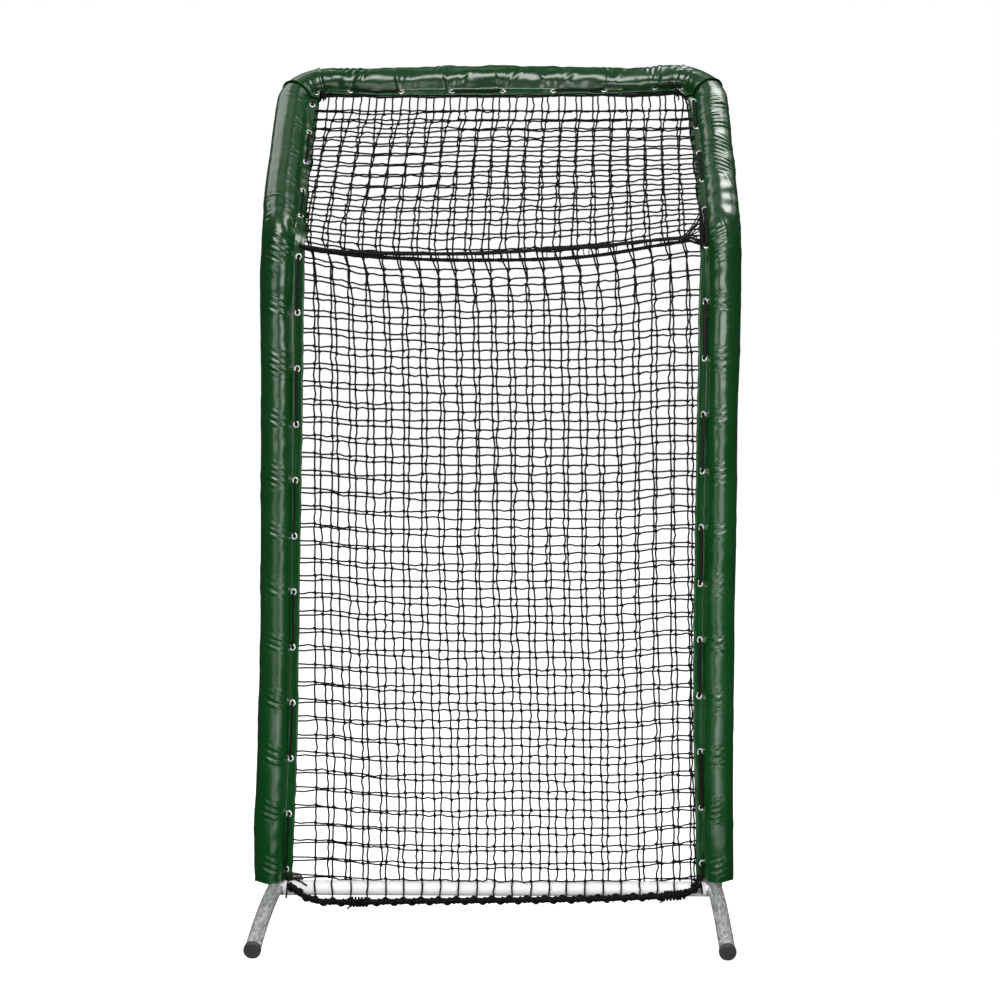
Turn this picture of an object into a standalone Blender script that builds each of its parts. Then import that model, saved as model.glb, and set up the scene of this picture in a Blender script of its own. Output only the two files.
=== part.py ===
"""Overhead protector screen for softball practice.

A padded, netted hoop leans back over the player at the top. It slips down over two upright
spigots on a low base of two bowed legs and a crossbar. Units are metres, +Z is up, the batter
stands on the -Y side, and the overhead part leans towards +Y.
"""
import math

import bmesh
import bpy
from mathutils import Vector
from mathutils.geometry import tessellate_polygon

# Steel tube, the same size throughout.
TUBE_R = 0.019
TUBE_WALL = 0.0015
SLIP_GAP = 0.0003
REDUCED_WALL = 0.0016
REDUCED_LENGTH = 0.060
SHOULDER_TAPER = 0.004

# Hoop: the centre line of its tube.
POST_X = 0.566
BEND_Z = 1.775
TILT = math.radians(45)
OVERHEAD_LENGTH = 0.665
BEND_R = 0.100
CORNER_R = 0.100
BEND_STEPS = 4
CORNER_STEPS = 6
POST_JOINT_BELOW_BEND = 0.120
CORNER_JOINT_LEAD = 0.070

# Legs: one bowed tube each, with its crown under the post.
LEG_REACH = 0.375
LEG_CROWN_R = 0.300
LEG_CROWN_TILT = math.radians(3.5)
LEG_BOW_R = 1.500
LEG_END_RUN = 0.045
LEG_WALL = 0.0018
LEG_STEPS = 4
CAP_WALL = 0.0025
CAP_END = 0.004
CAP_DEPTH = 0.034
CAP_EDGE = 0.002
CAP_TREAD = 0.0025

# Spigots on the leg crowns, and the crossbar between them.
SEAT_RISE = 0.003
SPIGOT_LENGTH = 0.200
SPIGOT_WALL = 0.0020
STUB_LENGTH = 0.080
CROSSBAR_BOLT_INSET = 0.020
BOLT_R = 0.004
BOLT_HOLE_GAP = 0.0004
HEX_R = 0.0075
BOLT_HEAD = 0.0053
NUT_HEIGHT = 0.0065
BOLT_POINT = 0.002
RIVET_R = 0.0024
RIVET_FLUSH = 0.0001

# Padding: a foam sleeve on each straight run, in a vinyl cover with an inner flap.
PAD_R = 0.0395
COVER_WALL = 0.0012
FOAM_BORE_GAP = 0.0008
FLAP_EDGE = 0.0655
FLAP_THICKNESS = 0.0030
FOAM_END_GAP = 0.020
CORNER_COVER_WALL = 0.0012
CORNER_LAP = math.radians(30)
CORNER_COVER_START = math.radians(15)

# Lace holes, each as wide as a grommet's bore, and the lace that runs through them.
GROMMET_LINE = 0.0505
GROMMET_BORE_R = 0.0045
GROMMET_PROUD = 0.0008
POST_GROMMETS = 12
FIRST_GROMMET = 0.038
GROMMET_PITCH = 0.1425
ARM_GROMMETS = 4
FIRST_ARM_GROMMET = 0.085
ARM_GROMMET_PITCH = 0.121
TOP_GROMMETS = 7
CORNER_GROMMET_ANGLES = (math.radians(22.5), math.radians(67.5))
LACE_R = 0.0022
LACE_CLEARANCE = 0.0005
LACE_STEP = 0.0020

# Net: two layers, each with a main and an overhead panel.
NET_SIDE_GAP = 0.0025
NET_COLUMNS = 7
MAIN_ROWS = 12
OVERHEAD_ROWS = 4
TWINE_WIDTH = 0.0035
TWINE_THICKNESS = 0.0030
LAYER_OFFSET = 0.005
NET_FOOT_Z = 0.065
CROSSBAR_CLEARANCE = 0.006
NET_BEND_GAP = 0.010

# Ropes.
BEND_ROPE_R = 0.005
FOOT_ROPE_R = 0.0065
ROPE_CLEARANCE = 0.001
KNOT_R = 0.009
LASHING_R = 0.006
LASHING_END = 0.012

# The ropes across the bend, as shares of the net's half width and drops below the bend line.
# Their ends are tied at different heights, so they hang lower on the left.
FRONT_ROPE_ROUTE = (
    (-1.00, 0.041),
    (-0.79, 0.055),
    (-0.53, 0.060),
    (-0.27, 0.0615),
    (-0.02, 0.059),
    (0.29, 0.050),
    (0.54, 0.042),
    (0.83, 0.027),
    (1.00, 0.021),
)
REAR_ROPE_ROUTE = (
    (-1.00, 0.043),
    (-0.79, 0.058),
    (-0.59, 0.067),
    (-0.30, 0.074),
    (0.00, 0.075),
    (0.29, 0.072),
    (0.55, 0.062),
    (0.84, 0.038),
    (1.00, 0.026),
)

# The foot rope, as x and z.
FOOT_ROPE_ROUTE = (
    (-0.527, 0.103),
    (-0.496, 0.077),
    (-0.467, 0.064),
    (-0.440, 0.058),
    (-0.344, 0.057),
    (-0.190, 0.060),
    (0.014, 0.063),
    (0.219, 0.0665),
    (0.372, 0.072),
    (0.474, 0.078),
    (0.500, 0.088),
    (0.525, 0.106),
)

TUBE_SIDES = 12
LEG_SIDES = 16
PAD_SIDES = 16
HOLE_SIDES = 8
CORD_SIDE_STEPS = 1

# Sizes that follow from those above.
REDUCED_R = TUBE_R - TUBE_WALL - SLIP_GAP
CAP_R = TUBE_R + SLIP_GAP + CAP_WALL
BEND_TANGENT = BEND_R * math.tan(TILT / 2)
OVERHEAD_REACH = OVERHEAD_LENGTH * math.sin(TILT)
CORNER_COVER_R = PAD_R + SLIP_GAP + CORNER_COVER_WALL

# The legs' end slope and the drop of the bow give the crown its height over the floor.
LEG_CROWN_Y = LEG_CROWN_R * math.sin(LEG_CROWN_TILT)
LEG_BOW_RUN = LEG_REACH - LEG_END_RUN - LEG_CROWN_Y
LEG_END_SLOPE = math.asin(math.sin(LEG_CROWN_TILT) + LEG_BOW_RUN / LEG_BOW_R)
LEG_CROWN_DROP = LEG_CROWN_R * (1 - math.cos(LEG_CROWN_TILT))
LEG_BOW_DROP = LEG_BOW_R * (math.cos(LEG_CROWN_TILT) - math.cos(LEG_END_SLOPE))
LEG_END_Z = CAP_R * math.cos(LEG_END_SLOPE) - CAP_TREAD + CAP_END * math.sin(LEG_END_SLOPE)
LEG_END_DROP = LEG_END_RUN * math.tan(LEG_END_SLOPE)
CROWN_Z = LEG_END_Z + LEG_CROWN_DROP + LEG_BOW_DROP + LEG_END_DROP
SEAT_Z = CROWN_Z + TUBE_R + SEAT_RISE

# The origin is on the floor under the middle of the bounding box, so the posts stand in front of it.
FRONT_REACH = LEG_REACH + CAP_END * math.cos(LEG_END_SLOPE) + (CAP_R - CAP_EDGE) * math.sin(LEG_END_SLOPE)
BACK_REACH = OVERHEAD_REACH + PAD_R
POST_Y = (FRONT_REACH - BACK_REACH) / 2

# Distances along the hoop's centre line, from the lower end of the left post tube.
HOOP_START_Z = SEAT_Z + SLIP_GAP
S_BEND = BEND_Z - BEND_TANGENT - HOOP_START_Z
S_ARM = S_BEND + BEND_R * TILT
S_CORNER = S_ARM + OVERHEAD_LENGTH - BEND_TANGENT - CORNER_R
S_TOP = S_CORNER + CORNER_R * math.pi / 2
S_MIDDLE = S_TOP + POST_X - CORNER_R
HOOP_LENGTH = 2 * S_MIDDLE
S_BEND_POINT = S_BEND + BEND_TANGENT


def clear_scene():
    for item in list(bpy.data.objects):
        bpy.data.objects.remove(item, do_unlink=True)


def make_material(name, colour, roughness, metallic):
    material = bpy.data.materials.new(name)
    material.use_nodes = True
    shader = material.node_tree.nodes["Principled BSDF"]
    shader.inputs["Base Color"].default_value = (*colour, 1.0)
    shader.inputs["Roughness"].default_value = roughness
    shader.inputs["Metallic"].default_value = metallic
    return material


FINISHES = {
    "galvanised": ((0.33, 0.34, 0.35), 0.42, 1.0),
    "zinc": ((0.55, 0.56, 0.57), 0.30, 1.0),
    "vinyl": ((0.012, 0.078, 0.026), 0.30, 0.0),
    "foam": ((0.55, 0.53, 0.48), 0.90, 0.0),
    "cord": ((0.012, 0.011, 0.011), 0.70, 0.0),
    "rubber": ((0.022, 0.022, 0.022), 0.65, 0.0),
}


def add_object(name, mesh, finish, parent=None):
    """Put a mesh in the scene as one named piece with its own material."""
    item = bpy.data.objects.new(name, mesh)
    colour, roughness, metallic = FINISHES[finish]
    item.data.materials.append(make_material(name, colour, roughness, metallic))
    bpy.context.collection.objects.link(item)
    if parent is not None:
        item.parent = parent
        item.matrix_parent_inverse = parent.matrix_world.inverted()
    return item


def mesh_from(name, build):
    """Run a bmesh builder, turn its faces outwards and shade it smooth with sharp corners."""
    work = bmesh.new()
    build(work)
    bmesh.ops.recalc_face_normals(work, faces=work.faces)
    mesh = bpy.data.meshes.new(name)
    work.to_mesh(mesh)
    work.free()
    mesh.shade_smooth()
    mesh.set_sharp_from_angle(angle=math.radians(35))
    return mesh


def cut(item, cutter_name, build):
    """Cut a volume out of a piece, and bake the result into the piece's mesh."""
    cutter = bpy.data.objects.new(cutter_name, mesh_from(cutter_name, build))
    cutter.hide_render = True
    cutter.display_type = "WIRE"
    bpy.context.collection.objects.link(cutter)
    modifier = item.modifiers.new(cutter_name, "BOOLEAN")
    modifier.operation = "DIFFERENCE"
    modifier.solver = "EXACT"
    modifier.object = cutter
    bpy.context.view_layer.update()
    depsgraph = bpy.context.evaluated_depsgraph_get()
    result = bpy.data.meshes.new_from_object(item.evaluated_get(depsgraph))
    item.modifiers.clear()
    item.data = result
    result.set_sharp_from_angle(angle=math.radians(35))
    bpy.data.objects.remove(cutter, do_unlink=True)


# The hoop's centre line.
def hoop_place(s):
    """Point, direction, inward direction and front normal of the hoop at distance s along it."""
    right = s > S_MIDDLE
    t = HOOP_LENGTH - s if right else s
    side = -POST_X
    lean = TILT
    slope = Vector((0, math.sin(TILT), math.cos(TILT)))
    across = Vector((1, 0, 0))
    bend_end = Vector((side, BEND_R * (1 - math.cos(TILT)), BEND_Z - BEND_TANGENT + BEND_R * math.sin(TILT)))
    if t <= S_BEND:
        point = Vector((side, 0, HOOP_START_Z + t))
        along = Vector((0, 0, 1))
        lean = 0.0
    elif t <= S_ARM:
        lean = (t - S_BEND) / BEND_R
        rise = BEND_R * math.sin(lean)
        point = Vector((side, BEND_R * (1 - math.cos(lean)), BEND_Z - BEND_TANGENT + rise))
        along = Vector((0, math.sin(lean), math.cos(lean)))
    elif t <= S_CORNER:
        point = bend_end + slope * (t - S_ARM)
        along = slope.copy()
    else:
        turn = min((t - S_CORNER) / CORNER_R, math.pi / 2)
        start = bend_end + slope * (S_CORNER - S_ARM)
        point = start + across * CORNER_R * (1 - math.cos(turn)) + slope * CORNER_R * math.sin(turn)
        along = across * math.sin(turn) + slope * math.cos(turn)
        point = point + across * max(0.0, t - S_TOP)
    front = Vector((0, -math.cos(lean), math.sin(lean)))
    if right:
        point.x = -point.x
        along = Vector((along.x, -along.y, -along.z))
    inward = along.cross(front)
    point.y += POST_Y
    return point, along, inward, front


def hoop_point(s, inward_by, front_by):
    point, _, inward, front = hoop_place(s)
    return point + inward * inward_by + front * front_by


def arc_stops():
    """Distances at which the bends of the hoop are divided, from the left foot to the right."""
    left = [S_BEND + BEND_R * TILT * k / BEND_STEPS for k in range(BEND_STEPS + 1)]
    left += [S_CORNER + CORNER_R * math.pi / 2 * k / CORNER_STEPS for k in range(CORNER_STEPS + 1)]
    return left + [HOOP_LENGTH - s for s in reversed(left)]


def stops_between(start, end):
    return [s for s in arc_stops() if start + 1e-5 < s < end - 1e-5]


def ring(radius, sides):
    return [
        (radius * math.cos(2 * math.pi * k / sides), radius * math.sin(2 * math.pi * k / sides))
        for k in range(sides)
    ]


def bands_between(work, loops):
    """Join each loop of vertices to the next with quads."""
    for first, second in zip(loops, loops[1:]):
        count = len(first)
        for k in range(count):
            following = (k + 1) % count
            work.faces.new((first[k], first[following], second[following], second[k]))


def close_ends(work, outer, inner):
    """Fill a pair of end loops: a whole face, or the band between an outer and an inner loop."""
    if inner is None:
        work.faces.new(outer)
        return
    flat = outer + inner
    for corners in tessellate_polygon([[v.co for v in outer], [v.co for v in inner]]):
        work.faces.new([flat[k] for k in corners])


def sweep_loops(work, frames, outers, inners):
    """Sweep an outline, and a bore where there is one, through a list of frames."""

    def placed(frame, outline):
        point, side, front = frame
        return [work.verts.new(point + side * p + front * q) for p, q in outline]

    outer_loops = [placed(frame, outline) for frame, outline in zip(frames, outers)]
    bands_between(work, outer_loops)
    inner_loops = [None] * len(frames)
    if inners is not None:
        inner_loops = [placed(frame, outline) for frame, outline in zip(frames, inners)]
        bands_between(work, inner_loops)
    close_ends(work, outer_loops[0], inner_loops[0])
    close_ends(work, outer_loops[-1], inner_loops[-1])


def hoop_frames(distances):
    frames = []
    for s in distances:
        point, _, inward, front = hoop_place(s)
        frames.append((point, inward, front))
    return frames


def hoop_sleeve(name, start, end, outer, inner, finish, parent):
    """A sleeve of constant section along the hoop."""
    distances = [start] + stops_between(start, end) + [end]

    def build(work):
        frames = hoop_frames(distances)
        sweep_loops(work, frames, [outer] * len(frames), [inner] * len(frames))

    return add_object(name, mesh_from(name, build), finish, parent)


def hoop_tube(name, marks, parent):
    """A steel tube along the hoop from marks of distance, outer radius and inner radius."""
    distances = []
    outers = []
    inners = []
    for first, second in zip(marks, marks[1:]):
        distances += [first[0]] + stops_between(first[0], second[0])
        steps = len(distances) - len(outers)
        outers += [ring(first[1], TUBE_SIDES)] * steps
        inners += [ring(first[2], TUBE_SIDES)] * steps
    distances.append(marks[-1][0])
    outers.append(ring(marks[-1][1], TUBE_SIDES))
    inners.append(ring(marks[-1][2], TUBE_SIDES))

    def build(work):
        sweep_loops(work, hoop_frames(distances), outers, inners)

    return add_object(name, mesh_from(name, build), "galvanised", parent)


def straight_tube(name, start, direction, side, marks, sides):
    """A straight tube from marks of distance, outer radius and inner radius."""
    front = direction.cross(side)

    def build(work):
        frames = [(start + direction * s, side, front) for s, _, _ in marks]
        outers = [ring(outer, sides) for _, outer, _ in marks]
        inners = [ring(inner, sides) for _, _, inner in marks]
        sweep_loops(work, frames, outers, inners)

    return add_object(name, mesh_from(name, build), "galvanised")


def rod_builder(start, end, side, radius, sides):
    """A bmesh builder for a plain round bar, used for cutters and small fasteners."""
    direction = (end - start).normalized()
    front = direction.cross(side)

    def build(work):
        outline = ring(radius, sides)
        sweep_loops(work, [(start, side, front), (end, side, front)], [outline, outline], None)

    return build


def together(builders):
    def build(work):
        for builder in builders:
            builder(work)

    return build


def cord(name, points, radius, parent):
    """A cord or rope through a list of points, as a bevelled curve with closed ends."""
    curve = bpy.data.curves.new(name, "CURVE")
    curve.dimensions = "3D"
    curve.bevel_depth = radius
    curve.bevel_resolution = CORD_SIDE_STEPS
    curve.use_fill_caps = True
    spline = curve.splines.new("POLY")
    spline.points.add(len(points) - 1)
    for spot, point in zip(spline.points, points):
        spot.co = (*point, 1.0)
    return add_object(name, curve, "cord", parent)


# Base: legs, caps, spigots and crossbar.
def leg_profile():
    """Distance out from the crown, height and slope along half a leg, from crown to end."""
    spots = [(0.0, CROWN_Z, 0.0)]
    for k in range(LEG_STEPS + 1):
        slope = LEG_CROWN_TILT + (LEG_END_SLOPE - LEG_CROWN_TILT) * k / LEG_STEPS
        reach = LEG_CROWN_Y + LEG_BOW_R * (math.sin(slope) - math.sin(LEG_CROWN_TILT))
        drop = LEG_CROWN_DROP + LEG_BOW_R * (math.cos(LEG_CROWN_TILT) - math.cos(slope))
        spots.append((reach, CROWN_Z - drop, slope))
    spots.append((LEG_REACH, LEG_END_Z, LEG_END_SLOPE))
    return spots


def leg_frames(x):
    """Frames along a leg from its front end to its rear end."""
    half = leg_profile()
    frames = []
    for reach, height, slope in reversed(half):
        frames.append((x, -reach, height, slope))
    for reach, height, slope in half[1:]:
        frames.append((x, reach, height, -slope))
    side = Vector((1, 0, 0))
    placed = []
    for x_at, y_at, z_at, slope in frames:
        along = Vector((0, math.cos(slope), math.sin(slope)))
        placed.append((Vector((x_at, POST_Y + y_at, z_at)), side, along.cross(side)))
    return placed


def leg_builder(x, outer, inner):
    def build(work):
        frames = leg_frames(x)
        bores = None if inner is None else [ring(inner, LEG_SIDES)] * len(frames)
        sweep_loops(work, frames, [ring(outer, LEG_SIDES)] * len(frames), bores)

    return build


def cap_at(name, x, facing):
    """A rubber cup over one leg end, cut flat where it stands on the floor."""
    end = Vector((x, POST_Y + facing * LEG_REACH, LEG_END_Z))
    along = Vector((0, facing * math.cos(LEG_END_SLOPE), -math.sin(LEG_END_SLOPE)))
    side = Vector((1, 0, 0))
    front = along.cross(side)
    bore = TUBE_R + SLIP_GAP
    rim = [(-CAP_DEPTH, CAP_R), (CAP_END - CAP_EDGE, CAP_R), (CAP_END, CAP_R - CAP_EDGE)]

    def build(work):
        def loop(distance, radius):
            return [
                work.verts.new(end + along * distance + side * p + front * q)
                for p, q in ring(radius, LEG_SIDES)
            ]

        outside = [loop(distance, radius) for distance, radius in rim]
        inside = [loop(-CAP_DEPTH, bore), loop(SLIP_GAP, bore)]
        bands_between(work, outside)
        bands_between(work, inside)
        bands_between(work, [outside[0], inside[0]])
        work.faces.new(outside[-1])
        work.faces.new(inside[-1])
        parts = work.verts[:] + work.edges[:] + work.faces[:]
        sliced = bmesh.ops.bisect_plane(
            work, geom=parts, plane_co=(0, 0, 0), plane_no=(0, 0, 1), clear_inner=True
        )
        edges = [item for item in sliced["geom_cut"] if isinstance(item, bmesh.types.BMEdge)]
        bmesh.ops.holes_fill(work, edges=edges, sides=0)

    return add_object(name, mesh_from(name, build), "rubber")


def crossbar_end(sign):
    return sign * (POST_X - TUBE_R - SEAT_RISE - SLIP_GAP)


def bolt_x(sign):
    return crossbar_end(sign) - sign * CROSSBAR_BOLT_INSET


def spigot_marks(length):
    """A stub of full tube out of the leg's side, then the reduced end that a tube slips over."""
    bore = REDUCED_R - SPIGOT_WALL
    shoulder = TUBE_R + SEAT_RISE
    return [
        (TUBE_R / 3, TUBE_R, bore),
        (shoulder, TUBE_R, bore),
        (shoulder, REDUCED_R, bore),
        (shoulder + length, REDUCED_R, bore),
    ]


def build_base():
    up = Vector((0, 0, 1))
    across = Vector((1, 0, 0))
    for side_name, sign in (("left", -1), ("right", 1)):
        x = sign * POST_X
        crown = Vector((x, POST_Y, CROWN_Z))
        leg_mesh = mesh_from(f"{side_name}_leg_tube", leg_builder(x, TUBE_R, TUBE_R - LEG_WALL))
        add_object(f"{side_name}_leg_tube", leg_mesh, "galvanised")
        cap_at(f"{side_name}_front_foot_cap", x, -1)
        cap_at(f"{side_name}_rear_foot_cap", x, 1)

        marks = spigot_marks(SPIGOT_LENGTH)
        name = f"{side_name}_upright_spigot"
        spigot = straight_tube(name, crown, up, across, marks, TUBE_SIDES)
        cut(spigot, "leg_cope", leg_builder(x, TUBE_R + SLIP_GAP, None))

        marks = spigot_marks(STUB_LENGTH)
        stub = straight_tube(f"{side_name}_crossbar_spigot", crown, across * -sign, up, marks, LEG_SIDES)
        cut(stub, "leg_cope", leg_builder(x, TUBE_R + SLIP_GAP, None))
        top = crown + up * 2 * TUBE_R
        cut(stub, "spigot_cope", rod_builder(crown, top, across, TUBE_R + SLIP_GAP, TUBE_SIDES))
        cut(stub, "bolt_hole", bolt_hole(sign))

    left = Vector((crossbar_end(-1), POST_Y, CROWN_Z))
    length = crossbar_end(1) - crossbar_end(-1)
    marks = [(0.0, TUBE_R, TUBE_R - TUBE_WALL), (length, TUBE_R, TUBE_R - TUBE_WALL)]
    bar = straight_tube("lower_crossbar_tube", left, across, up, marks, LEG_SIDES)
    cut(bar, "bolt_holes", together([bolt_hole(-1), bolt_hole(1)]))

    for side_name, sign in (("left", -1), ("right", 1)):
        for piece, builder in (("bolt", bolt_builder(sign)), ("nut", nut_builder(sign))):
            name = f"{side_name}_crossbar_{piece}"
            add_object(name, mesh_from(name, builder), "zinc")


def bolt_hole(sign):
    middle = Vector((bolt_x(sign), POST_Y, CROWN_Z))
    reach = Vector((0, 2 * TUBE_R, 0))
    hole_r = BOLT_R + BOLT_HOLE_GAP
    return rod_builder(middle - reach, middle + reach, Vector((1, 0, 0)), hole_r, HOLE_SIDES)


def bolt_builder(sign):
    """A hexagon bolt from front to back through the crossbar and its spigot."""
    seat = TUBE_R + SLIP_GAP
    middle = Vector((bolt_x(sign), POST_Y, CROWN_Z))
    side = Vector((1, 0, 0))
    back = Vector((0, 1, 0))
    front = back.cross(side)
    marks = [
        (-seat - BOLT_HEAD, HEX_R, 6),
        (-seat, HEX_R, 6),
        (-seat, BOLT_R, 12),
        (seat + NUT_HEIGHT + BOLT_POINT, BOLT_R, 12),
    ]

    def build(work):
        loops = []
        for distance, radius, sides in marks:
            centre = middle + back * distance
            loops.append([work.verts.new(centre + side * p + front * q) for p, q in ring(radius, sides)])
        bands_between(work, loops[:2])
        bands_between(work, loops[2:])
        work.faces.new(loops[0])
        work.faces.new(loops[-1])
        close_ends(work, loops[1], loops[2])

    return build


def nut_builder(sign):
    start = Vector((bolt_x(sign), POST_Y + TUBE_R + SLIP_GAP, CROWN_Z))
    end = start + Vector((0, NUT_HEIGHT, 0))
    side = Vector((1, 0, 0))
    front = (end - start).normalized().cross(side)
    bore = ring(BOLT_R + SLIP_GAP, 12)

    def build(work):
        frames = [(start, side, front), (end, side, front)]
        sweep_loops(work, frames, [ring(HEX_R, 6)] * 2, [bore] * 2)

    return build


# Hoop: tubes and rivets.
def mirrored(start, end):
    return HOOP_LENGTH - end, HOOP_LENGTH - start


def joints():
    """Where the tubes of the left half meet: post to arm, arm to corner, corner to top."""
    post = S_BEND_POINT - POST_JOINT_BELOW_BEND
    arm = S_CORNER - CORNER_JOINT_LEAD
    top = S_TOP + CORNER_JOINT_LEAD
    return post, arm, top


def plug_marks(joint):
    """A reduced end that plugs into the tube before it, then the full tube's first marks."""
    reduced_bore = REDUCED_R - REDUCED_WALL
    full = joint + SLIP_GAP
    return [
        (joint - REDUCED_LENGTH, REDUCED_R, reduced_bore),
        (full, REDUCED_R, reduced_bore),
        (full, TUBE_R, reduced_bore),
        (full + SHOULDER_TAPER, TUBE_R, TUBE_R - TUBE_WALL),
    ]


def reversed_marks(marks):
    return [(HOOP_LENGTH - s, outer, inner) for s, outer, inner in reversed(marks)]


def build_hoop_tubes(frame):
    post, arm, top = joints()
    bore = TUBE_R - TUBE_WALL
    full_marks = {
        "post_tube": [(0.0, TUBE_R, bore), (post, TUBE_R, bore)],
        "arm_tube": plug_marks(post) + [(arm, TUBE_R, bore)],
        "corner_tube": plug_marks(arm) + [(top, TUBE_R, bore)],
    }
    holes = together([rivet_builder(s, RIVET_R + SLIP_GAP, True) for s in rivet_spots()])
    for piece, marks in full_marks.items():
        for side_name, side_marks in (("left", marks), ("right", reversed_marks(marks))):
            name = f"{side_name}_{piece}"
            cut(hoop_tube(name, side_marks, frame), "rivet_holes", holes)
    top_marks = plug_marks(top)
    top_tube = hoop_tube("top_tube", top_marks + reversed_marks(top_marks), frame)
    cut(top_tube, "rivet_holes", holes)
    for piece, s in zip(("post", "arm", "corner"), rivet_spots()):
        for side_name, place in (("left", s), ("right", HOOP_LENGTH - s)):
            name = f"{side_name}_{piece}_rivet"
            add_object(name, mesh_from(name, rivet_builder(place, RIVET_R, False)), "zinc", frame)


def rivet_spots():
    left = [joint - REDUCED_LENGTH / 2 for joint in joints()]
    return left + [HOOP_LENGTH - s for s in reversed(left)]


def rivet_builder(s, radius, is_hole):
    """A flush rivet through the front of a joint, or the longer rod that drills its hole."""
    point, along, _, front = hoop_place(s)
    low = TUBE_R / 2 if is_hole else REDUCED_R - REDUCED_WALL
    high = 2 * TUBE_R if is_hole else TUBE_R - RIVET_FLUSH
    return rod_builder(point + front * low, point + front * high, along, radius, HOLE_SIDES)


# Padding: foam and covers.
def flap_outline(radius, flap_edge, flap_thickness):
    """A circle with a flat flap on its inner side, as one outline."""
    half = flap_thickness / 2
    root = math.sqrt(radius * radius - half * half)
    points = [(flap_edge, -half), (flap_edge, half), (root, half)]
    points += ring(radius, PAD_SIDES)[1:]
    points.append((root, -half))
    return points


def build_padding(frame):
    post_end = S_BEND - FOAM_END_GAP
    arm_start = S_ARM + FOAM_END_GAP
    arm_end = S_CORNER - FOAM_END_GAP
    top_start = S_TOP + FOAM_END_GAP
    foam_outer = ring(PAD_R - COVER_WALL - SLIP_GAP, PAD_SIDES)
    foam_bore = ring(TUBE_R + FOAM_BORE_GAP, PAD_SIDES)
    for name, start, end in (
        ("post_foam", 0.0, post_end),
        ("overhead_foam", arm_start, arm_end),
    ):
        hoop_sleeve(f"left_{name}", start, end, foam_outer, foam_bore, "foam", frame)
        start, end = mirrored(start, end)
        hoop_sleeve(f"right_{name}", start, end, foam_outer, foam_bore, "foam", frame)
    hoop_sleeve("top_foam", top_start, HOOP_LENGTH - top_start, foam_outer, foam_bore, "foam", frame)

    outer = flap_outline(PAD_R, FLAP_EDGE, FLAP_THICKNESS)
    inner = ring(PAD_R - COVER_WALL, PAD_SIDES)
    side_end = S_CORNER + CORNER_R * CORNER_LAP
    top_start = S_TOP - CORNER_R * CORNER_LAP
    flap_cover("left_side_cover", 0.0, side_end, outer, inner, frame)
    flap_cover("right_side_cover", *mirrored(0.0, side_end), outer, inner, frame)
    flap_cover("top_cover", top_start, HOOP_LENGTH - top_start, outer, inner, frame)

    room = SLIP_GAP + CORNER_COVER_WALL
    outer = flap_outline(CORNER_COVER_R, FLAP_EDGE + room, FLAP_THICKNESS + 2 * room)
    inner = flap_outline(PAD_R + SLIP_GAP, FLAP_EDGE + SLIP_GAP, FLAP_THICKNESS + 2 * SLIP_GAP)
    start = S_CORNER + CORNER_R * CORNER_COVER_START
    end = S_TOP - CORNER_R * CORNER_COVER_START
    flap_cover("left_corner_cover", start, end, outer, inner, frame)
    flap_cover("right_corner_cover", *mirrored(start, end), outer, inner, frame)


def flap_cover(name, start, end, outer, inner, frame):
    """A vinyl cover, with the holes for its lace through the flap."""
    cover = hoop_sleeve(name, start, end, outer, inner, "vinyl", frame)
    spots = left_grommets() + top_grommets() + right_grommets()
    cut(cover, "lace_holes", together([lace_hole(s) for s in spots if start < s < end]))


# Grommets and lacing.
def left_grommets():
    """Distances of the grommets up the left side, with the lower corner grommet last."""
    spots = [FIRST_GROMMET + GROMMET_PITCH * k for k in range(POST_GROMMETS)]
    first = S_ARM - BEND_TANGENT + FIRST_ARM_GROMMET
    spots += [first + ARM_GROMMET_PITCH * k for k in range(ARM_GROMMETS)]
    return spots + [S_CORNER + CORNER_R * CORNER_GROMMET_ANGLES[0]]


def right_grommets():
    return [HOOP_LENGTH - s for s in left_grommets()]


def top_grommets():
    spots = [S_CORNER + CORNER_R * CORNER_GROMMET_ANGLES[1]]
    first = -(TOP_GROMMETS - 1) / 2
    spots += [S_MIDDLE + GROMMET_PITCH * (first + k) for k in range(TOP_GROMMETS)]
    return spots + [HOOP_LENGTH - spots[0]]


def in_corner(s):
    t = min(s, HOOP_LENGTH - s)
    return S_CORNER + CORNER_R * CORNER_COVER_START < t < S_TOP - CORNER_R * CORNER_COVER_START


def stack_half(s):
    """Half the thickness of the flap at s, with the corner cover's two layers where it has them."""
    return FLAP_THICKNESS / 2 + (SLIP_GAP + CORNER_COVER_WALL if in_corner(s) else 0.0)


def lace_hole(s):
    centre = hoop_point(s, GROMMET_LINE, 0.0)
    _, along, _, front = hoop_place(s)
    reach = front * 4 * FLAP_THICKNESS
    return rod_builder(centre - reach, centre + reach, along, GROMMET_BORE_R, HOLE_SIDES)


def lace_route(spots, front_first):
    """A running stitch through the grommets, on the front on every second span."""
    rising = spots[1] > spots[0]
    step = LACE_STEP if rising else -LACE_STEP
    route = []
    side = -1 if front_first else 1
    lift = LACE_R + LACE_CLEARANCE + GROMMET_PROUD
    start = (spots[0] - step * LASHING_END / LACE_STEP, side * (stack_half(spots[0]) + lift))
    route.append(start)
    for s in spots:
        height = stack_half(s) + lift
        route.append((s - step, side * height))
        side = -side
        route.append((s + step, side * height))
    route.append((spots[-1] + step * LASHING_END / LACE_STEP, route[-1][1]))
    points = [hoop_point(route[0][0], GROMMET_LINE, route[0][1])]
    for (s, height), (next_s, next_height) in zip(route, route[1:]):
        between = stops_between(min(s, next_s), max(s, next_s))
        if not rising:
            between.reverse()
        for stop in between:
            share = (stop - s) / (next_s - s)
            points.append(hoop_point(stop, GROMMET_LINE, height + (next_height - height) * share))
        points.append(hoop_point(next_s, GROMMET_LINE, next_height))
    return points


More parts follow.
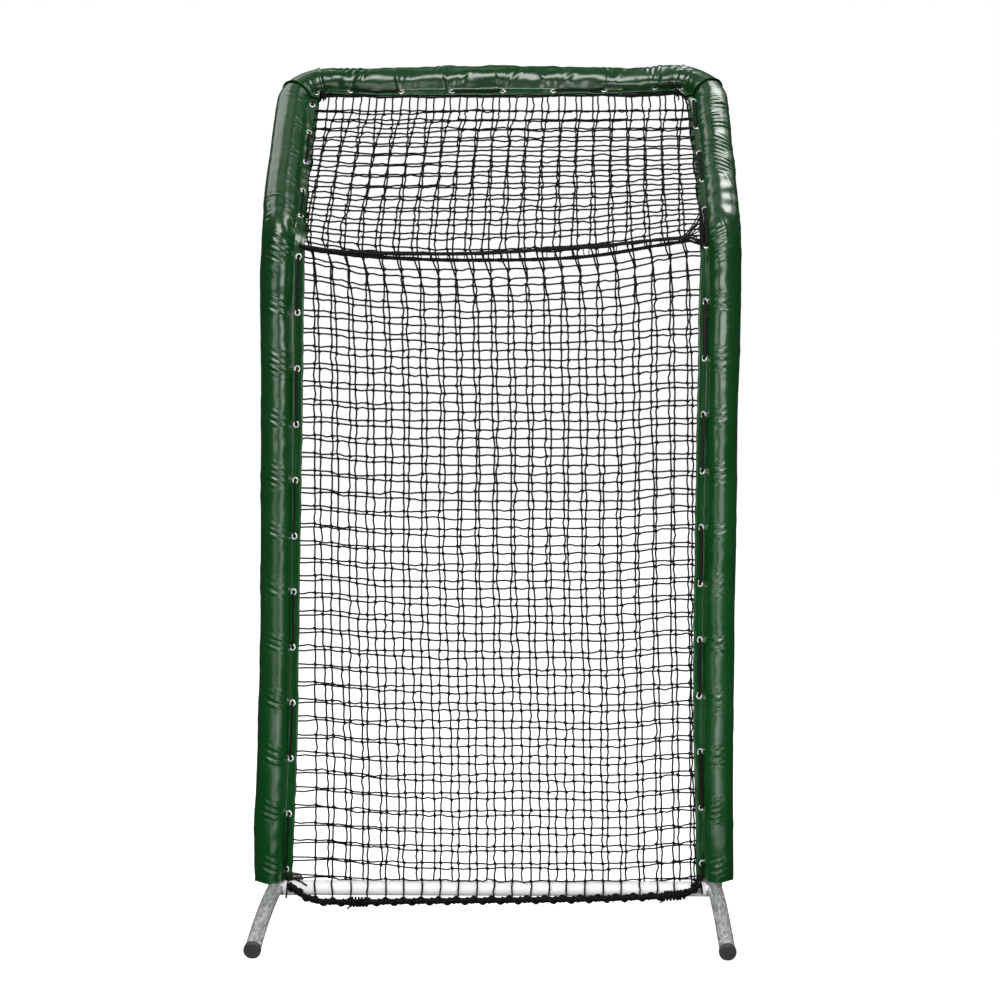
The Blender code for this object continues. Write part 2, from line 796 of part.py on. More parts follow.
def build_lacing(frame):
    groups = (
        ("left", left_grommets(), True),
        ("top", top_grommets(), False),
        ("right", right_grommets(), False),
    )
    for name, spots, front_first in groups:
        cord(f"{name}_lace", lace_route(spots, front_first), LACE_R, frame)


# Net and ropes.
def lattice(name, corner, across, upward, width, height, columns, rows, frame):
    """A flat net of square twine: one plate with a gap for each mesh."""
    normal = across.cross(upward) * TWINE_THICKNESS / 2

    def lines(length, count):
        pitch = (length - TWINE_WIDTH) / count
        places = []
        for k in range(count + 1):
            places += [pitch * k, pitch * k + TWINE_WIDTH]
        return places

    def build(work):
        xs = lines(width, columns)
        ys = lines(height, rows)
        front = [[work.verts.new(corner + across * x + upward * y + normal) for y in ys] for x in xs]
        back = [[work.verts.new(corner + across * x + upward * y - normal) for y in ys] for x in xs]

        def is_twine(i, j):
            inside = 0 <= i < len(xs) - 1 and 0 <= j < len(ys) - 1
            return inside and not (i % 2 and j % 2)

        for i in range(len(xs) - 1):
            for j in range(len(ys) - 1):
                if not is_twine(i, j):
                    continue
                corners = [(i, j), (i + 1, j), (i + 1, j + 1), (i, j + 1)]
                work.faces.new([front[a][b] for a, b in corners])
                work.faces.new([back[a][b] for a, b in reversed(corners)])
                neighbours = [(i, j - 1), (i + 1, j), (i, j + 1), (i - 1, j)]
                for k, (a, b) in enumerate(neighbours):
                    if is_twine(a, b):
                        continue
                    (p, q), (r, s) = corners[k], corners[(k + 1) % 4]
                    work.faces.new((front[p][q], back[p][q], back[r][s], front[r][s]))

    mesh = mesh_from(name, build)
    return add_object(name, mesh, "cord", frame)


def net_half_width():
    return POST_X - FLAP_EDGE - NET_SIDE_GAP


def foot_offset():
    """How far each net layer hangs clear of the crossbar at its foot."""
    return TUBE_R + CROSSBAR_CLEARANCE + TWINE_THICKNESS / 2


def build_net(frame):
    across = Vector((1, 0, 0))
    slope = Vector((0, math.sin(TILT), math.cos(TILT)))
    normal = Vector((0, -math.cos(TILT), math.sin(TILT)))
    width = 2 * net_half_width()
    flap_end = OVERHEAD_LENGTH - FLAP_EDGE - NET_SIDE_GAP
    for layer, sign in (("front", -1), ("rear", 1)):
        foot = Vector((-net_half_width(), POST_Y + sign * foot_offset(), NET_FOOT_Z))
        head = Vector((-net_half_width(), POST_Y + sign * LAYER_OFFSET, BEND_Z - NET_BEND_GAP))
        upward = (head - foot).normalized()
        name = f"{layer}_main_net"
        lattice(name, foot, across, upward, width, (head - foot).length, NET_COLUMNS, MAIN_ROWS, frame)
        bend = Vector((-net_half_width(), POST_Y, BEND_Z))
        corner = bend + slope * NET_BEND_GAP - normal * sign * LAYER_OFFSET
        name = f"{layer}_overhead_net"
        height = flap_end - NET_BEND_GAP
        lattice(name, corner, across, slope, width, height, NET_COLUMNS, OVERHEAD_ROWS, frame)


def knot(name, centre, frame):
    def build(work):
        made = bmesh.ops.create_uvsphere(work, u_segments=10, v_segments=6, radius=KNOT_R)
        bmesh.ops.translate(work, verts=made["verts"], vec=centre)

    return add_object(name, mesh_from(name, build), "cord", frame)


def build_ropes(frame):
    half_width = net_half_width()
    depth = LAYER_OFFSET + TWINE_THICKNESS / 2 + BEND_ROPE_R + ROPE_CLEARANCE
    for layer, sign, route in (("front", -1, FRONT_ROPE_ROUTE), ("rear", 1, REAR_ROPE_ROUTE)):
        y = POST_Y + sign * depth
        points = [Vector((half_width * share, y, BEND_Z - drop)) for share, drop in route]
        cord(f"{layer}_bend_rope", points, BEND_ROPE_R, frame)

    # The foot rope hangs in front of the crossbar, from one flap's lower end to the other's.
    y = POST_Y - foot_offset() - TWINE_THICKNESS / 2 - FOOT_ROPE_R - ROPE_CLEARANCE
    cord("foot_rope", [Vector((x, y, z)) for x, z in FOOT_ROPE_ROUTE], FOOT_ROPE_R, frame)

    # A knot stands on each end of the foot rope.
    lift = KNOT_R + FOOT_ROPE_R + SLIP_GAP
    for side_name, (x, z) in (("left", FOOT_ROPE_ROUTE[0]), ("right", FOOT_ROPE_ROUTE[-1])):
        knot(f"{side_name}_foot_knot", Vector((x, y, z + lift)), frame)

    # A knot ties each top corner of the net over the corner cover's flap.
    height = LAYER_OFFSET + TWINE_THICKNESS / 2 + KNOT_R + ROPE_CLEARANCE
    s = S_CORNER + CORNER_R * math.pi / 4
    knot("left_corner_knot", hoop_point(s, FLAP_EDGE, height), frame)
    knot("right_corner_knot", hoop_point(HOOP_LENGTH - s, FLAP_EDGE, height), frame)

    # A thick lashing lies over the lace round the right bend.
    lift = FLAP_THICKNESS / 2 + GROMMET_PROUD + 2 * (LACE_R + LACE_CLEARANCE) + LASHING_R
    spots = right_grommets()
    high, low = spots[POST_GROMMETS] + LASHING_END, spots[POST_GROMMETS - 1] - LASHING_END
    stops = [high] + stops_between(high, low) + [low]
    cord("right_bend_lashing", [hoop_point(s, GROMMET_LINE, lift) for s in stops], LASHING_R, frame)


def build_screen():
    clear_scene()
    build_base()
    frame = bpy.data.objects.new("screen_frame_lift", None)
    frame.location = (0.0, POST_Y, SEAT_Z)
    bpy.context.collection.objects.link(frame)
    bpy.context.view_layer.update()
    build_hoop_tubes(frame)
    build_padding(frame)
    build_lacing(frame)
    build_net(frame)
    build_ropes(frame)


build_screen()
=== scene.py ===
# %% [markdown]
# # Softball overhead protector screen
# A padded steel hoop stands on two bowed legs and leans back at the top. It carries a net in two
# layers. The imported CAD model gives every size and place. This script dresses it: it keeps the
# solids that already look right, and gives the soft pieces their folds, hems, laces and knots.

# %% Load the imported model
import math
import random
import bpy
import numpy as np
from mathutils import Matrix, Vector


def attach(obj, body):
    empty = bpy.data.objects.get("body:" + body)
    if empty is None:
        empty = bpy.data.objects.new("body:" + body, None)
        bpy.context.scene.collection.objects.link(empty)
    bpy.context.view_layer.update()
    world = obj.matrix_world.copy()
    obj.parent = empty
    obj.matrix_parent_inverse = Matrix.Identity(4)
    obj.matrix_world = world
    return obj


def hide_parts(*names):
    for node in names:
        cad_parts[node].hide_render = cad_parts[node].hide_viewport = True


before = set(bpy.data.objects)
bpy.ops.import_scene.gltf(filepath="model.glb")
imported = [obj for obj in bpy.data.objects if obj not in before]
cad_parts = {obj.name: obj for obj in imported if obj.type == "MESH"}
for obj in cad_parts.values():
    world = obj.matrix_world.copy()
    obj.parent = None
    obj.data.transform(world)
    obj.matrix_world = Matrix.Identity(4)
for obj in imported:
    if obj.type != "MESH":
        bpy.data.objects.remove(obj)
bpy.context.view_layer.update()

BASE = "base"
SCREEN = "screen_frame"
MM = 0.001

# %% [markdown]
# ## The camera
# A picture can only be compared with a photograph if both are seen from one place. The place
# here was found by fitting the hoop's outline to the photograph: about 4.9 m in front of the
# screen, at shoulder height, a little right of the middle. The lens has no roll, and a small
# shift keeps the screen where the photograph has it.

# %% Camera
PHOTO_SIZE = 1000
FOCAL_PX = 1891.0
SENSOR_MM = 36.0
CAMERA_PLACE = (0.1666, -4.9072, 1.1945)
CAMERA_YAW = math.radians(0.9)
CAMERA_PITCH = math.radians(-1.29)
CAMERA_SHIFT_PX = 30.0

lens = bpy.data.cameras.new("photo_camera")
lens.sensor_width = SENSOR_MM
lens.lens = FOCAL_PX * SENSOR_MM / PHOTO_SIZE
lens.shift_x = -CAMERA_SHIFT_PX / PHOTO_SIZE
camera = bpy.data.objects.new("photo_camera", lens)
camera.location = CAMERA_PLACE
camera.rotation_euler = (math.pi / 2 + CAMERA_PITCH, 0.0, CAMERA_YAW)
bpy.context.collection.objects.link(camera)
bpy.context.scene.camera = camera
print("lens:", round(lens.lens, 2), "mm")

# %% [markdown]
# ## The line of the hoop
# Every pad, flap, grommet and lace follows one line: up the left post, round the bend, up the
# leaning arm, round the corner, along the top and down the other side. A place on the screen
# is then a distance s along that line, a distance p inwards and a height q to the front. The
# line could be traced on the solids, but worked out from the hoop's sizes it also gives the
# directions at every place.

# %% Sizes of the hoop
TUBE_R = 0.019
POST_X = 0.566
POST_Y = -0.062775
CROWN_Z = 0.085118
HOOP_START_Z = 0.107418
BEND_Z = 1.775
TILT = math.radians(45)
OVERHEAD_LENGTH = 0.665
BEND_R = 0.100
CORNER_R = 0.100
BEND_TANGENT = BEND_R * math.tan(TILT / 2)
S_BEND = BEND_Z - BEND_TANGENT - HOOP_START_Z
S_ARM = S_BEND + BEND_R * TILT
S_CORNER = S_ARM + OVERHEAD_LENGTH - BEND_TANGENT - CORNER_R
S_TOP = S_CORNER + CORNER_R * math.pi / 2
S_MIDDLE = S_TOP + POST_X - CORNER_R
HOOP_LENGTH = 2 * S_MIDDLE
SLOPE = Vector((0, math.sin(TILT), math.cos(TILT)))
print("hoop line:", round(HOOP_LENGTH, 3), "m")


# %% Point and directions at a distance along the hoop
def hoop_place(s):
    """Point, direction along, direction inwards and direction to the front, at s."""
    right = s > S_MIDDLE
    t = HOOP_LENGTH - s if right else s
    lean = TILT
    bend_y = BEND_R * (1 - math.cos(TILT))
    bend_z = BEND_Z - BEND_TANGENT + BEND_R * math.sin(TILT)
    bend_end = Vector((-POST_X, bend_y, bend_z))
    if t <= S_BEND:
        point = Vector((-POST_X, 0, HOOP_START_Z + t))
        along = Vector((0, 0, 1))
        lean = 0.0
    elif t <= S_ARM:
        lean = (t - S_BEND) / BEND_R
        rise = BEND_R * math.sin(lean)
        point = Vector((-POST_X, BEND_R * (1 - math.cos(lean)), BEND_Z - BEND_TANGENT + rise))
        along = Vector((0, math.sin(lean), math.cos(lean)))
    elif t <= S_CORNER:
        point = bend_end + SLOPE * (t - S_ARM)
        along = SLOPE.copy()
    else:
        turn = min((t - S_CORNER) / CORNER_R, math.pi / 2)
        across = Vector((1, 0, 0))
        point = bend_end + SLOPE * (S_CORNER - S_ARM + CORNER_R * math.sin(turn))
        point += across * (CORNER_R * (1 - math.cos(turn)) + max(0.0, t - S_TOP))
        along = across * math.sin(turn) + SLOPE * math.cos(turn)
    front = Vector((0, -math.cos(lean), math.sin(lean)))
    if right:
        point.x = -point.x
        along = Vector((along.x, -along.y, -along.z))
    inward = along.cross(front)
    point.y += POST_Y
    return point, along, inward, front


print("middle of the top:", [round(v, 3) for v in hoop_place(S_MIDDLE)[0]])


# %% [markdown]
# ## Mesh tools
# The soft pieces are all lofts: a row of points is carried along a line, and neighbouring rows
# are joined with quads. Curves with a bevel could make them too, but a loft's section may change
# on the way. NumPy holds the points, because a cover has tens of thousands of them.

# %% Gather points and faces into one piece
class Loft:
    """Points and faces of one piece, gathered strip by strip."""

    def __init__(self):
        self.points = []
        self.faces = []
        self.count = 0

    def add_grid(self, grid, wrap=False, caps=False, keep=None):
        """Join rows of points with quads. keep says which quads stay, and caps closes both ends."""
        rows, columns = grid.shape[:2]
        index = self.count + np.arange(rows * columns).reshape(rows, columns)
        if wrap:
            index = np.hstack([index, index[:, :1]])
        quads = np.stack([index[:-1, :-1], index[:-1, 1:], index[1:, 1:], index[1:, :-1]], axis=-1)
        if keep is not None:
            quads = quads[keep]
        self.faces += quads.reshape(-1, 4).tolist()
        if caps:
            self.faces.append(index[0, :columns][::-1].tolist())
            self.faces.append(index[-1, :columns].tolist())
        self.points.append(grid.reshape(-1, 3))
        self.count += rows * columns

    def add_tube(self, line, radius, sides=12, strands=0, lay=0.03):
        """A tube or rope along a line, closed at both ends."""
        self.add_grid(tube_grid(line, radius, sides, strands, lay), wrap=True, caps=True)


def make_piece(name, loft, material, smooth=True):
    """One mesh object from a loft, shaded smooth or flat, with its material."""
    mesh = bpy.data.meshes.new(name)
    mesh.from_pydata(np.vstack(loft.points).tolist(), [], loft.faces)
    mesh.validate()
    mesh.polygons.foreach_set("use_smooth", [smooth] * len(mesh.polygons))
    mesh.materials.append(material)
    piece = bpy.data.objects.new(name, mesh)
    bpy.context.collection.objects.link(piece)
    print(name, len(mesh.polygons), "faces")
    return piece


def place_on(body, piece, slot, *nodes):
    """Let a piece ride on a body and hide the solids it stands for. slot is not used."""
    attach(piece, body)
    if nodes:
        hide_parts(*nodes)


# %% Tubes along a line
def smooth_line(points, step):
    """A smooth curve through the points, with a point at about every step."""
    points = np.array([tuple(p) for p in points], dtype=float)
    padded = np.vstack([2 * points[0] - points[1], points, 2 * points[-1] - points[-2]])
    line = []
    for a, b, c, d in zip(padded, padded[1:], padded[2:], padded[3:]):
        count = max(1, int(np.linalg.norm(c - b) / step))
        for t in np.arange(count) / count:
            line.append(b + t * ((c - a) / 2 + t * (a - 2.5 * b + 2 * c - d / 2
                                                    + t * (1.5 * (b - c) + (d - a) / 2))))
    line.append(points[-1])
    return np.array(line)


def run_along(line):
    """The distance from the start of a line to each of its points."""
    return np.concatenate([[0.0], np.cumsum(np.linalg.norm(np.diff(line, axis=0), axis=1))])


def tangents(line):
    """The direction of a line at each of its points."""
    tangent = np.gradient(line, axis=0)
    return tangent / np.linalg.norm(tangent, axis=1, keepdims=True)


def turns_of(sides):
    """The angles of the corners of a regular polygon."""
    return np.arange(sides) / sides * 2 * np.pi


def frames_along(line):
    """Two directions square to the line at each of its points, turned as little as possible."""
    tangent = tangents(line)
    side = np.cross(tangent[0], (0.0, 0.3, 1.0) if abs(tangent[0][2]) < 0.7 else (0.0, 1.0, 0.3))
    sides = []
    for direction in tangent:
        side = side - direction * np.dot(side, direction)
        side /= np.linalg.norm(side)
        sides.append(side)
    sides = np.array(sides)
    return sides, np.cross(tangent, sides)


def tube_grid(line, radius, sides=12, strands=0, lay=0.03):
    """Rings of points along a line. A rope has strands that go once round in each lay."""
    u, v = frames_along(line)
    run = run_along(line)
    angle = turns_of(sides)
    size = np.broadcast_to(np.asarray(radius, dtype=float), (len(line),))[:, None]
    if strands:
        phase = strands * (angle[None, :] - 2 * np.pi * run[:, None] / lay) / 2
        size = size * (0.86 + 0.17 * np.abs(np.cos(phase)))
    round_u = u[:, None, :] * np.cos(angle)[None, :, None]
    round_v = v[:, None, :] * np.sin(angle)[None, :, None]
    return line[:, None, :] + (round_u + round_v) * np.broadcast_to(size, (len(line), sides))[..., None]


def wound_round(line, radius, pitch):
    """The line of a thin cord that winds round another line."""
    u, v = frames_along(line)
    turn = 2 * np.pi * run_along(line) / pitch
    return line + (u * np.cos(turn)[:, None] + v * np.sin(turn)[:, None]) * np.reshape(radius, (-1, 1))


quarter = smooth_line([(1, 0, 0), (0.7, 0.7, 0), (0, 1, 0)], 0.1)
print("a curve through three points:", len(quarter), "points,", round(float(run_along(quarter)[-1]), 3), "m")

# %% Slow seeded waves, for everything that is hand-hung and never quite straight
def waves(seed, count, shortest, longest):
    """A smooth function of two lengths in metres, from about -1 to 1."""
    dice = random.Random(seed)
    terms = []
    for _ in range(count):
        length = dice.uniform(shortest, longest)
        turn = dice.uniform(0, 2 * math.pi)
        terms.append((2 * math.pi * math.cos(turn) / length,
                      2 * math.pi * math.sin(turn) / length,
                      dice.uniform(0, 2 * math.pi)))

    def value(a, b):
        return sum(np.sin(x * a + y * b + phase) for x, y, phase in terms) / math.sqrt(count)

    return value


def eased(stops, s):
    """The value at s from a few (place, value) stops, with the corners rounded over 120 mm."""
    places, values = zip(*stops)
    return sum(np.interp(s + shift, places, values) for shift in (-0.06, -0.03, 0, 0.03, 0.06)) / 5


step_stops = [(0, 0), (0.01, 1)]
print("a step, eased:", [round(float(eased(step_stops, s)), 2) for s in (-0.05, 0, 0.05)])

# %% [markdown]
# ## Finishes
# Each finish starts from what the real material is and how its surface was made. One function
# turns an sRGB hex value to the linear colour that Blender mixes with, and one adds a node.

# %% Colour and node helpers
def colour(hex_code):
    """An sRGB hex value such as 1D5A2B as a linear colour with alpha."""
    channels = [int(hex_code[k:k + 2], 16) / 255 for k in (0, 2, 4)]
    linear = [c / 12.92 if c <= 0.04045 else ((c + 0.055) / 1.055) ** 2.4 for c in channels]
    return (*linear, 1.0)


def plug(owner, node, links):
    """Link other nodes' sockets to a node's inputs."""
    for name, source in links.items():
        owner.node_tree.links.new(source, node.inputs[name])


def add_node(owner, kind, settings=None, links=None):
    """Add a node, set its values by name or number, and link other nodes' sockets to it."""
    node = owner.node_tree.nodes.new(kind)
    for name, value in (settings or {}).items():
        if isinstance(name, str) and hasattr(node, name):
            setattr(node, name, value)
        else:
            node.inputs[name].default_value = value
    plug(owner, node, links or {})
    return node


def new_finish(name, settings):
    """A material with its shader set, and the object's own coordinates in metres."""
    material = bpy.data.materials.new(name)
    material.use_nodes = True
    shader = material.node_tree.nodes["Principled BSDF"]
    for socket, value in settings.items():
        shader.inputs[socket].default_value = value
    place = add_node(material, "ShaderNodeTexCoord")
    return material, shader, place.outputs["Object"]


def two_tones(dark, light):
    """The settings of a mix node that goes from one hex colour to another."""
    return {"data_type": "RGBA", 6: colour(dark), 7: colour(light)}


print("sRGB 808080 is linear", round(colour("808080")[0], 3))

# %% [markdown]
# ### Vinyl
# The covers are 18 oz PVC-coated polyester, as on a lorry tarpaulin. The coating is calendered
# smooth, so it mirrors a lamp in a sharp streak, and the woven threads under it print through as
# a faint grid. Handling leaves slow colour changes and small ripples. A picture of vinyl could be
# laid on, but it would stretch over the folds, so noise and waves in the object's own space do it.

# %% PVC-coated polyester
PATCHES_PER_M = 9.0      # Slow changes of colour, about 110 mm across.
RIPPLES_PER_M = 45.0     # Small ripples, about 22 mm across.
GRID_PITCH = 13.82 * MM  # The real threads are 1.2 mm apart, too fine to show, so a coarser grid is drawn.
WAVE_TURN = 20.0         # A wave texture of scale 1 turns by 20 radians in a metre.


def coated_vinyl(name, dark, light, roughness):
    """Glossy film over a woven cloth."""
    material, shader, place = new_finish(name, {
        "Roughness": roughness, "IOR": 1.52, "Coat Weight": 0.5, "Coat Roughness": 0.14, "Coat IOR": 1.5})
    patches = add_node(material, "ShaderNodeTexNoise", {"Scale": PATCHES_PER_M, "Detail": 4.0},
                       {"Vector": place})
    tint = add_node(material, "ShaderNodeMix", two_tones(dark, light), {0: patches.outputs["Fac"]})
    rough = add_node(material, "ShaderNodeMapRange", {
        "From Min": 0.3, "From Max": 0.7, "To Min": roughness - 0.04, "To Max": roughness + 0.08},
        {"Value": patches.outputs["Fac"]})
    weave = None
    for axis in ("X", "Z"):
        thread = add_node(material, "ShaderNodeTexWave", {
            "bands_direction": axis, "Scale": 2 * math.pi / GRID_PITCH / WAVE_TURN, "Distortion": 0.4},
            {"Vector": place})
        links = {"Height": thread.outputs["Fac"]}
        if weave:
            links["Normal"] = weave.outputs["Normal"]
        weave = add_node(material, "ShaderNodeBump", {"Strength": 0.06, "Distance": 0.1 * MM}, links)
    ripple = add_node(material, "ShaderNodeTexNoise", {"Scale": RIPPLES_PER_M, "Detail": 3.0},
                      {"Vector": place})
    bump = add_node(material, "ShaderNodeBump", {"Strength": 0.35, "Distance": 1.2 * MM}, {
        "Height": ripple.outputs["Fac"], "Normal": weave.outputs["Normal"]})
    plug(material, shader, {"Base Color": tint.outputs[2], "Roughness": rough.outputs["Result"],
                            "Normal": bump.outputs["Normal"]})
    return material


vinyl = coated_vinyl("pvc_coated_polyester", "03380F", "074919", 0.27)
print("vinyl grid:", round(1000 * GRID_PITCH, 1), "mm apart")

# %% [markdown]
# ### Galvanised steel
# The tubes are roll-formed from zinc-coated strip. Zinc freezes in grey crystals, the spangle,
# a centimetre or so across, and the forming rolls leave faint lines along the tube. A picture of
# zinc could be wrapped round the tube, but it would show a seam. So Voronoi cells make the
# crystals, and a noise that is stretched along the tube makes the lines. On the legs the lines
# run from grey to near white, so they are also painted reflection streaks, and the crossbar is
# painted near white all over as a painted highlight.

# %% Galvanised tube
SPANGLE_PER_M = 1 / (9 * MM)
SPANGLE_SHARE = 0.25     # The rest of the mottling is roll lines.
# On the legs these lines also carry painted reflection streaks.
LINES_PER_M = 220.0      # Roll lines 4.5 mm apart, drawn coarser than the real ones so that they show.
LINE_ENDS_PER_M = 2.0    # Each line is about half a metre long.


def galvanised_tube(name, along, dark, light, metallic=1.0, roughness=0.36):
    """Zinc-coated tube whose roll lines run along x, y or z. A near-white light tone makes them painted
    reflection streaks as well.
    """
    material, shader, place = new_finish(name, {"Metallic": metallic, "Roughness": roughness})
    spangle = add_node(material, "ShaderNodeTexVoronoi", {"Scale": SPANGLE_PER_M}, {"Vector": place})
    grey = add_node(material, "ShaderNodeRGBToBW", {}, {"Color": spangle.outputs["Color"]})
    squeeze = [LINE_ENDS_PER_M if axis == along else LINES_PER_M for axis in "xyz"]
    stretched = add_node(material, "ShaderNodeMapping", {"Scale": squeeze}, {"Vector": place})
    lines = add_node(material, "ShaderNodeTexNoise", {"Scale": 1.0, "Detail": 3.0},
                     {"Vector": stretched.outputs["Vector"]})
    mottle = add_node(material, "ShaderNodeMix", {0: SPANGLE_SHARE},
                      {2: lines.outputs["Fac"], 3: grey.outputs["Val"]})
    contrast = add_node(material, "ShaderNodeMapRange", {"From Min": 0.25, "From Max": 0.70},
                        {"Value": mottle.outputs[0]})
    tint = add_node(material, "ShaderNodeMix", two_tones(dark, light), {0: contrast.outputs["Result"]})
    rough = add_node(material, "ShaderNodeMapRange", {
        "To Min": roughness - 0.06, "To Max": roughness + 0.12}, {"Value": lines.outputs["Fac"]})
    bump = add_node(material, "ShaderNodeBump", {"Strength": 0.25, "Distance": 0.15 * MM},
                    {"Height": lines.outputs["Fac"]})
    plug(material, shader, {"Base Color": tint.outputs[2], "Roughness": rough.outputs["Result"],
                            "Normal": bump.outputs["Normal"]})
    return material


# The legs' tones run from grey to near white: roll lines, and painted reflection streaks along the tube.
leg_steel_lines_and_painted_reflection = galvanised_tube("galvanised_leg_tube_lines_and_painted_reflection", "y", "8A8D90", "F6F7F7", 0.50, 0.24)
# The crossbar is painted near white all over: a painted highlight for its glare, not zinc's own grey.
bar_steel_painted_highlight = galvanised_tube("galvanised_crossbar_painted_highlight", "x", "FAFAFA", "FFFFFF", 0.0, 0.40)
post_steel = galvanised_tube("galvanised_post_tube", "z", "8A8E91", "B4B8BA")
print("spangle:", round(1000 / SPANGLE_PER_M, 1), "mm")

# %% [markdown]
# ### Plated fasteners, rubber, foam and cord
# Grommets, bolts and rivets are nickel- or zinc-plated: bright, with a light satin from the
# plating bath. The end caps are moulded rubber with a dull, finely eroded skin. The foam is
# closed-cell polyethylene. Net, laces and ropes are black twisted polyester, tarred and matt.
# One noise in each finish carries its small changes of tone, and the grain of the matt ones.

# %% Plated metal
CLOUDS_PER_M = 120.0     # Stains of the plating bath, about 8 mm across.


def plated_metal(name, dark, light, roughness, metallic=1.0):
    """Bright metal with faint clouds in its polish."""
    material, shader, place = new_finish(name, {"Metallic": metallic, "Roughness": roughness})
    cloud = add_node(material, "ShaderNodeTexNoise", {"Scale": CLOUDS_PER_M, "Detail": 4.0},
                     {"Vector": place})
    tint = add_node(material, "ShaderNodeMix", two_tones(dark, light), {0: cloud.outputs["Fac"]})
    rough = add_node(material, "ShaderNodeMapRange", {
        "To Min": roughness - 0.08, "To Max": roughness + 0.12}, {"Value": cloud.outputs["Fac"]})
    plug(material, shader, {"Base Color": tint.outputs[2], "Roughness": rough.outputs["Result"]})
    return material


grommet_metal = plated_metal("nickel_plated_brass", "E2E3E2", "F8F8F7", 0.24, 0.5)
bolt_metal = plated_metal("zinc_plated_steel", "A9ABAC", "CFD1D0", 0.34)
print("plating clouds:", round(1000 / CLOUDS_PER_M, 1), "mm")

# %% Rubber, foam and cord
def grained(name, dark, light, roughness, grain_mm, depth_mm, specular=0.5):
    """A matt material with one even grain, of the given size."""
    material, shader, place = new_finish(name, {"Roughness": roughness, "Specular IOR Level": specular})
    grain = add_node(material, "ShaderNodeTexNoise", {"Scale": 1 / (grain_mm * MM), "Detail": 5.0},
                     {"Vector": place})
    tint = add_node(material, "ShaderNodeMix", two_tones(dark, light), {0: grain.outputs["Fac"]})
    bump = add_node(material, "ShaderNodeBump", {"Strength": 0.6, "Distance": depth_mm * MM},
                    {"Height": grain.outputs["Fac"]})
    plug(material, shader, {"Base Color": tint.outputs[2], "Normal": bump.outputs["Normal"]})
    return material


rubber = grained("moulded_rubber", "343434", "444444", 0.60, 2.0, 0.2)
foam_skin = grained("polyethylene_foam", "A8A498", "C6C2B6", 0.9, 3.0, 0.5)
twine_fibre = grained("tarred_polyester_twine", "0A0908", "14110F", 0.80, 2.5, 0.3, 0.2)
lace_fibre = grained("braided_polyester_lace", "0B0909", "181413", 0.75, 2.0, 0.3, 0.2)
print("cord finishes:", twine_fibre.name, "and", lace_fibre.name)

# %% [markdown]
# ## Ropes across the net
# Two thin ropes cross the net at the bend, one on each layer, and hang a little between the
# posts. A thicker one closes the foot. They are three-strand ropes. Three tubes could be twisted
# round each other, but at this distance one tube does, if its outline has three lobes that turn
# once in every lay of the rope.

# %% Sizes of the net and its ropes
NET_HALF_WIDTH = 0.498
BEND_ROPE_R = 0.005
BEND_ROPE_LAY = 0.026
BEND_ROPE_Y = 0.0125
FOOT_ROPE_R = 0.0065
FOOT_ROPE_LAY = 0.030
FOOT_ROPE_Y = POST_Y - 0.0355
ROPE_SIDES = 16
CORD_SIDES = 8
STRANDS = 3
CORD_STEP = 0.003

# The ropes' routes are the CAD part's: shares of the net's half width and drops below the bend,
# and for the foot rope x and height.
FRONT_ROPE_ROUTE = (
    (-1.00, 0.041), (-0.79, 0.055), (-0.53, 0.060), (-0.27, 0.0615), (-0.02, 0.059),
    (0.29, 0.050), (0.54, 0.042), (0.83, 0.027), (1.00, 0.021))
REAR_ROPE_ROUTE = (
    (-1.00, 0.043), (-0.79, 0.058), (-0.59, 0.067), (-0.30, 0.074), (0.00, 0.075),
    (0.29, 0.072), (0.55, 0.062), (0.84, 0.038), (1.00, 0.026))
FOOT_ROPE_ROUTE = (
    (-0.527, 0.103), (-0.496, 0.077), (-0.467, 0.064), (-0.440, 0.058), (-0.344, 0.057),
    (-0.190, 0.060), (0.014, 0.063), (0.219, 0.0665), (0.372, 0.072), (0.474, 0.078),
    (0.500, 0.088), (0.525, 0.106))


def route_height(route, x):
    """How high a rope runs at x: a drop for a bend rope, a height for the foot rope."""
    places, heights = zip(*route)
    return np.interp(x, places, heights)


def finish_cord(piece, node):
    """Put a cord on the screen and let it stand for its CAD node."""
    place_on(SCREEN, piece, "black_cord", node)


# %% Bend ropes
for layer, side, route in (("front", -1, FRONT_ROPE_ROUTE), ("rear", 1, REAR_ROPE_ROUTE)):
    line = smooth_line([(NET_HALF_WIDTH * share, POST_Y + side * BEND_ROPE_Y, BEND_Z - drop)
                        for share, drop in route], CORD_STEP)
    swell = waves(31 + side, 6, 0.02, 0.09)
    thickness = BEND_ROPE_R * (0.98 + 0.10 * swell(line[:, 0], 0.0) + 0.10 * (line[:, 0] < -0.2))
    loft = Loft()
    loft.add_tube(line, thickness, ROPE_SIDES, STRANDS, BEND_ROPE_LAY)
    rope = make_piece(f"{layer}_bend_rope_twist", loft, twine_fibre)
    finish_cord(rope, f"{layer}_bend_rope")

# %% Foot rope
MESH = 0.0453
FIRST_COLUMN = -0.4614
foot_line = smooth_line([(x, FOOT_ROPE_Y, z) for x, z in FOOT_ROPE_ROUTE], CORD_STEP)
scallop = np.abs(np.cos(np.pi * (foot_line[:, 0] - FIRST_COLUMN) / MESH))
loft = Loft()
loft.add_tube(foot_line, FOOT_ROPE_R * (1.02 + 0.24 * scallop), ROPE_SIDES, STRANDS, FOOT_ROPE_LAY)
foot_rope = make_piece("foot_rope_twist", loft, twine_fibre)

# A lashing winds along the foot rope and ties the net to it, with a thicker turn at each mesh.
LASHING_TURNS = ((0.0080, MESH / 2, 0.0020), (0.0092, MESH, 0.0034))
loft = Loft()
for radius, pitch, cord_r in LASHING_TURNS:
    loft.add_tube(wound_round(foot_line, radius, pitch), cord_r, CORD_SIDES)
foot_lashing = make_piece("foot_rope_lashing", loft, lace_fibre)

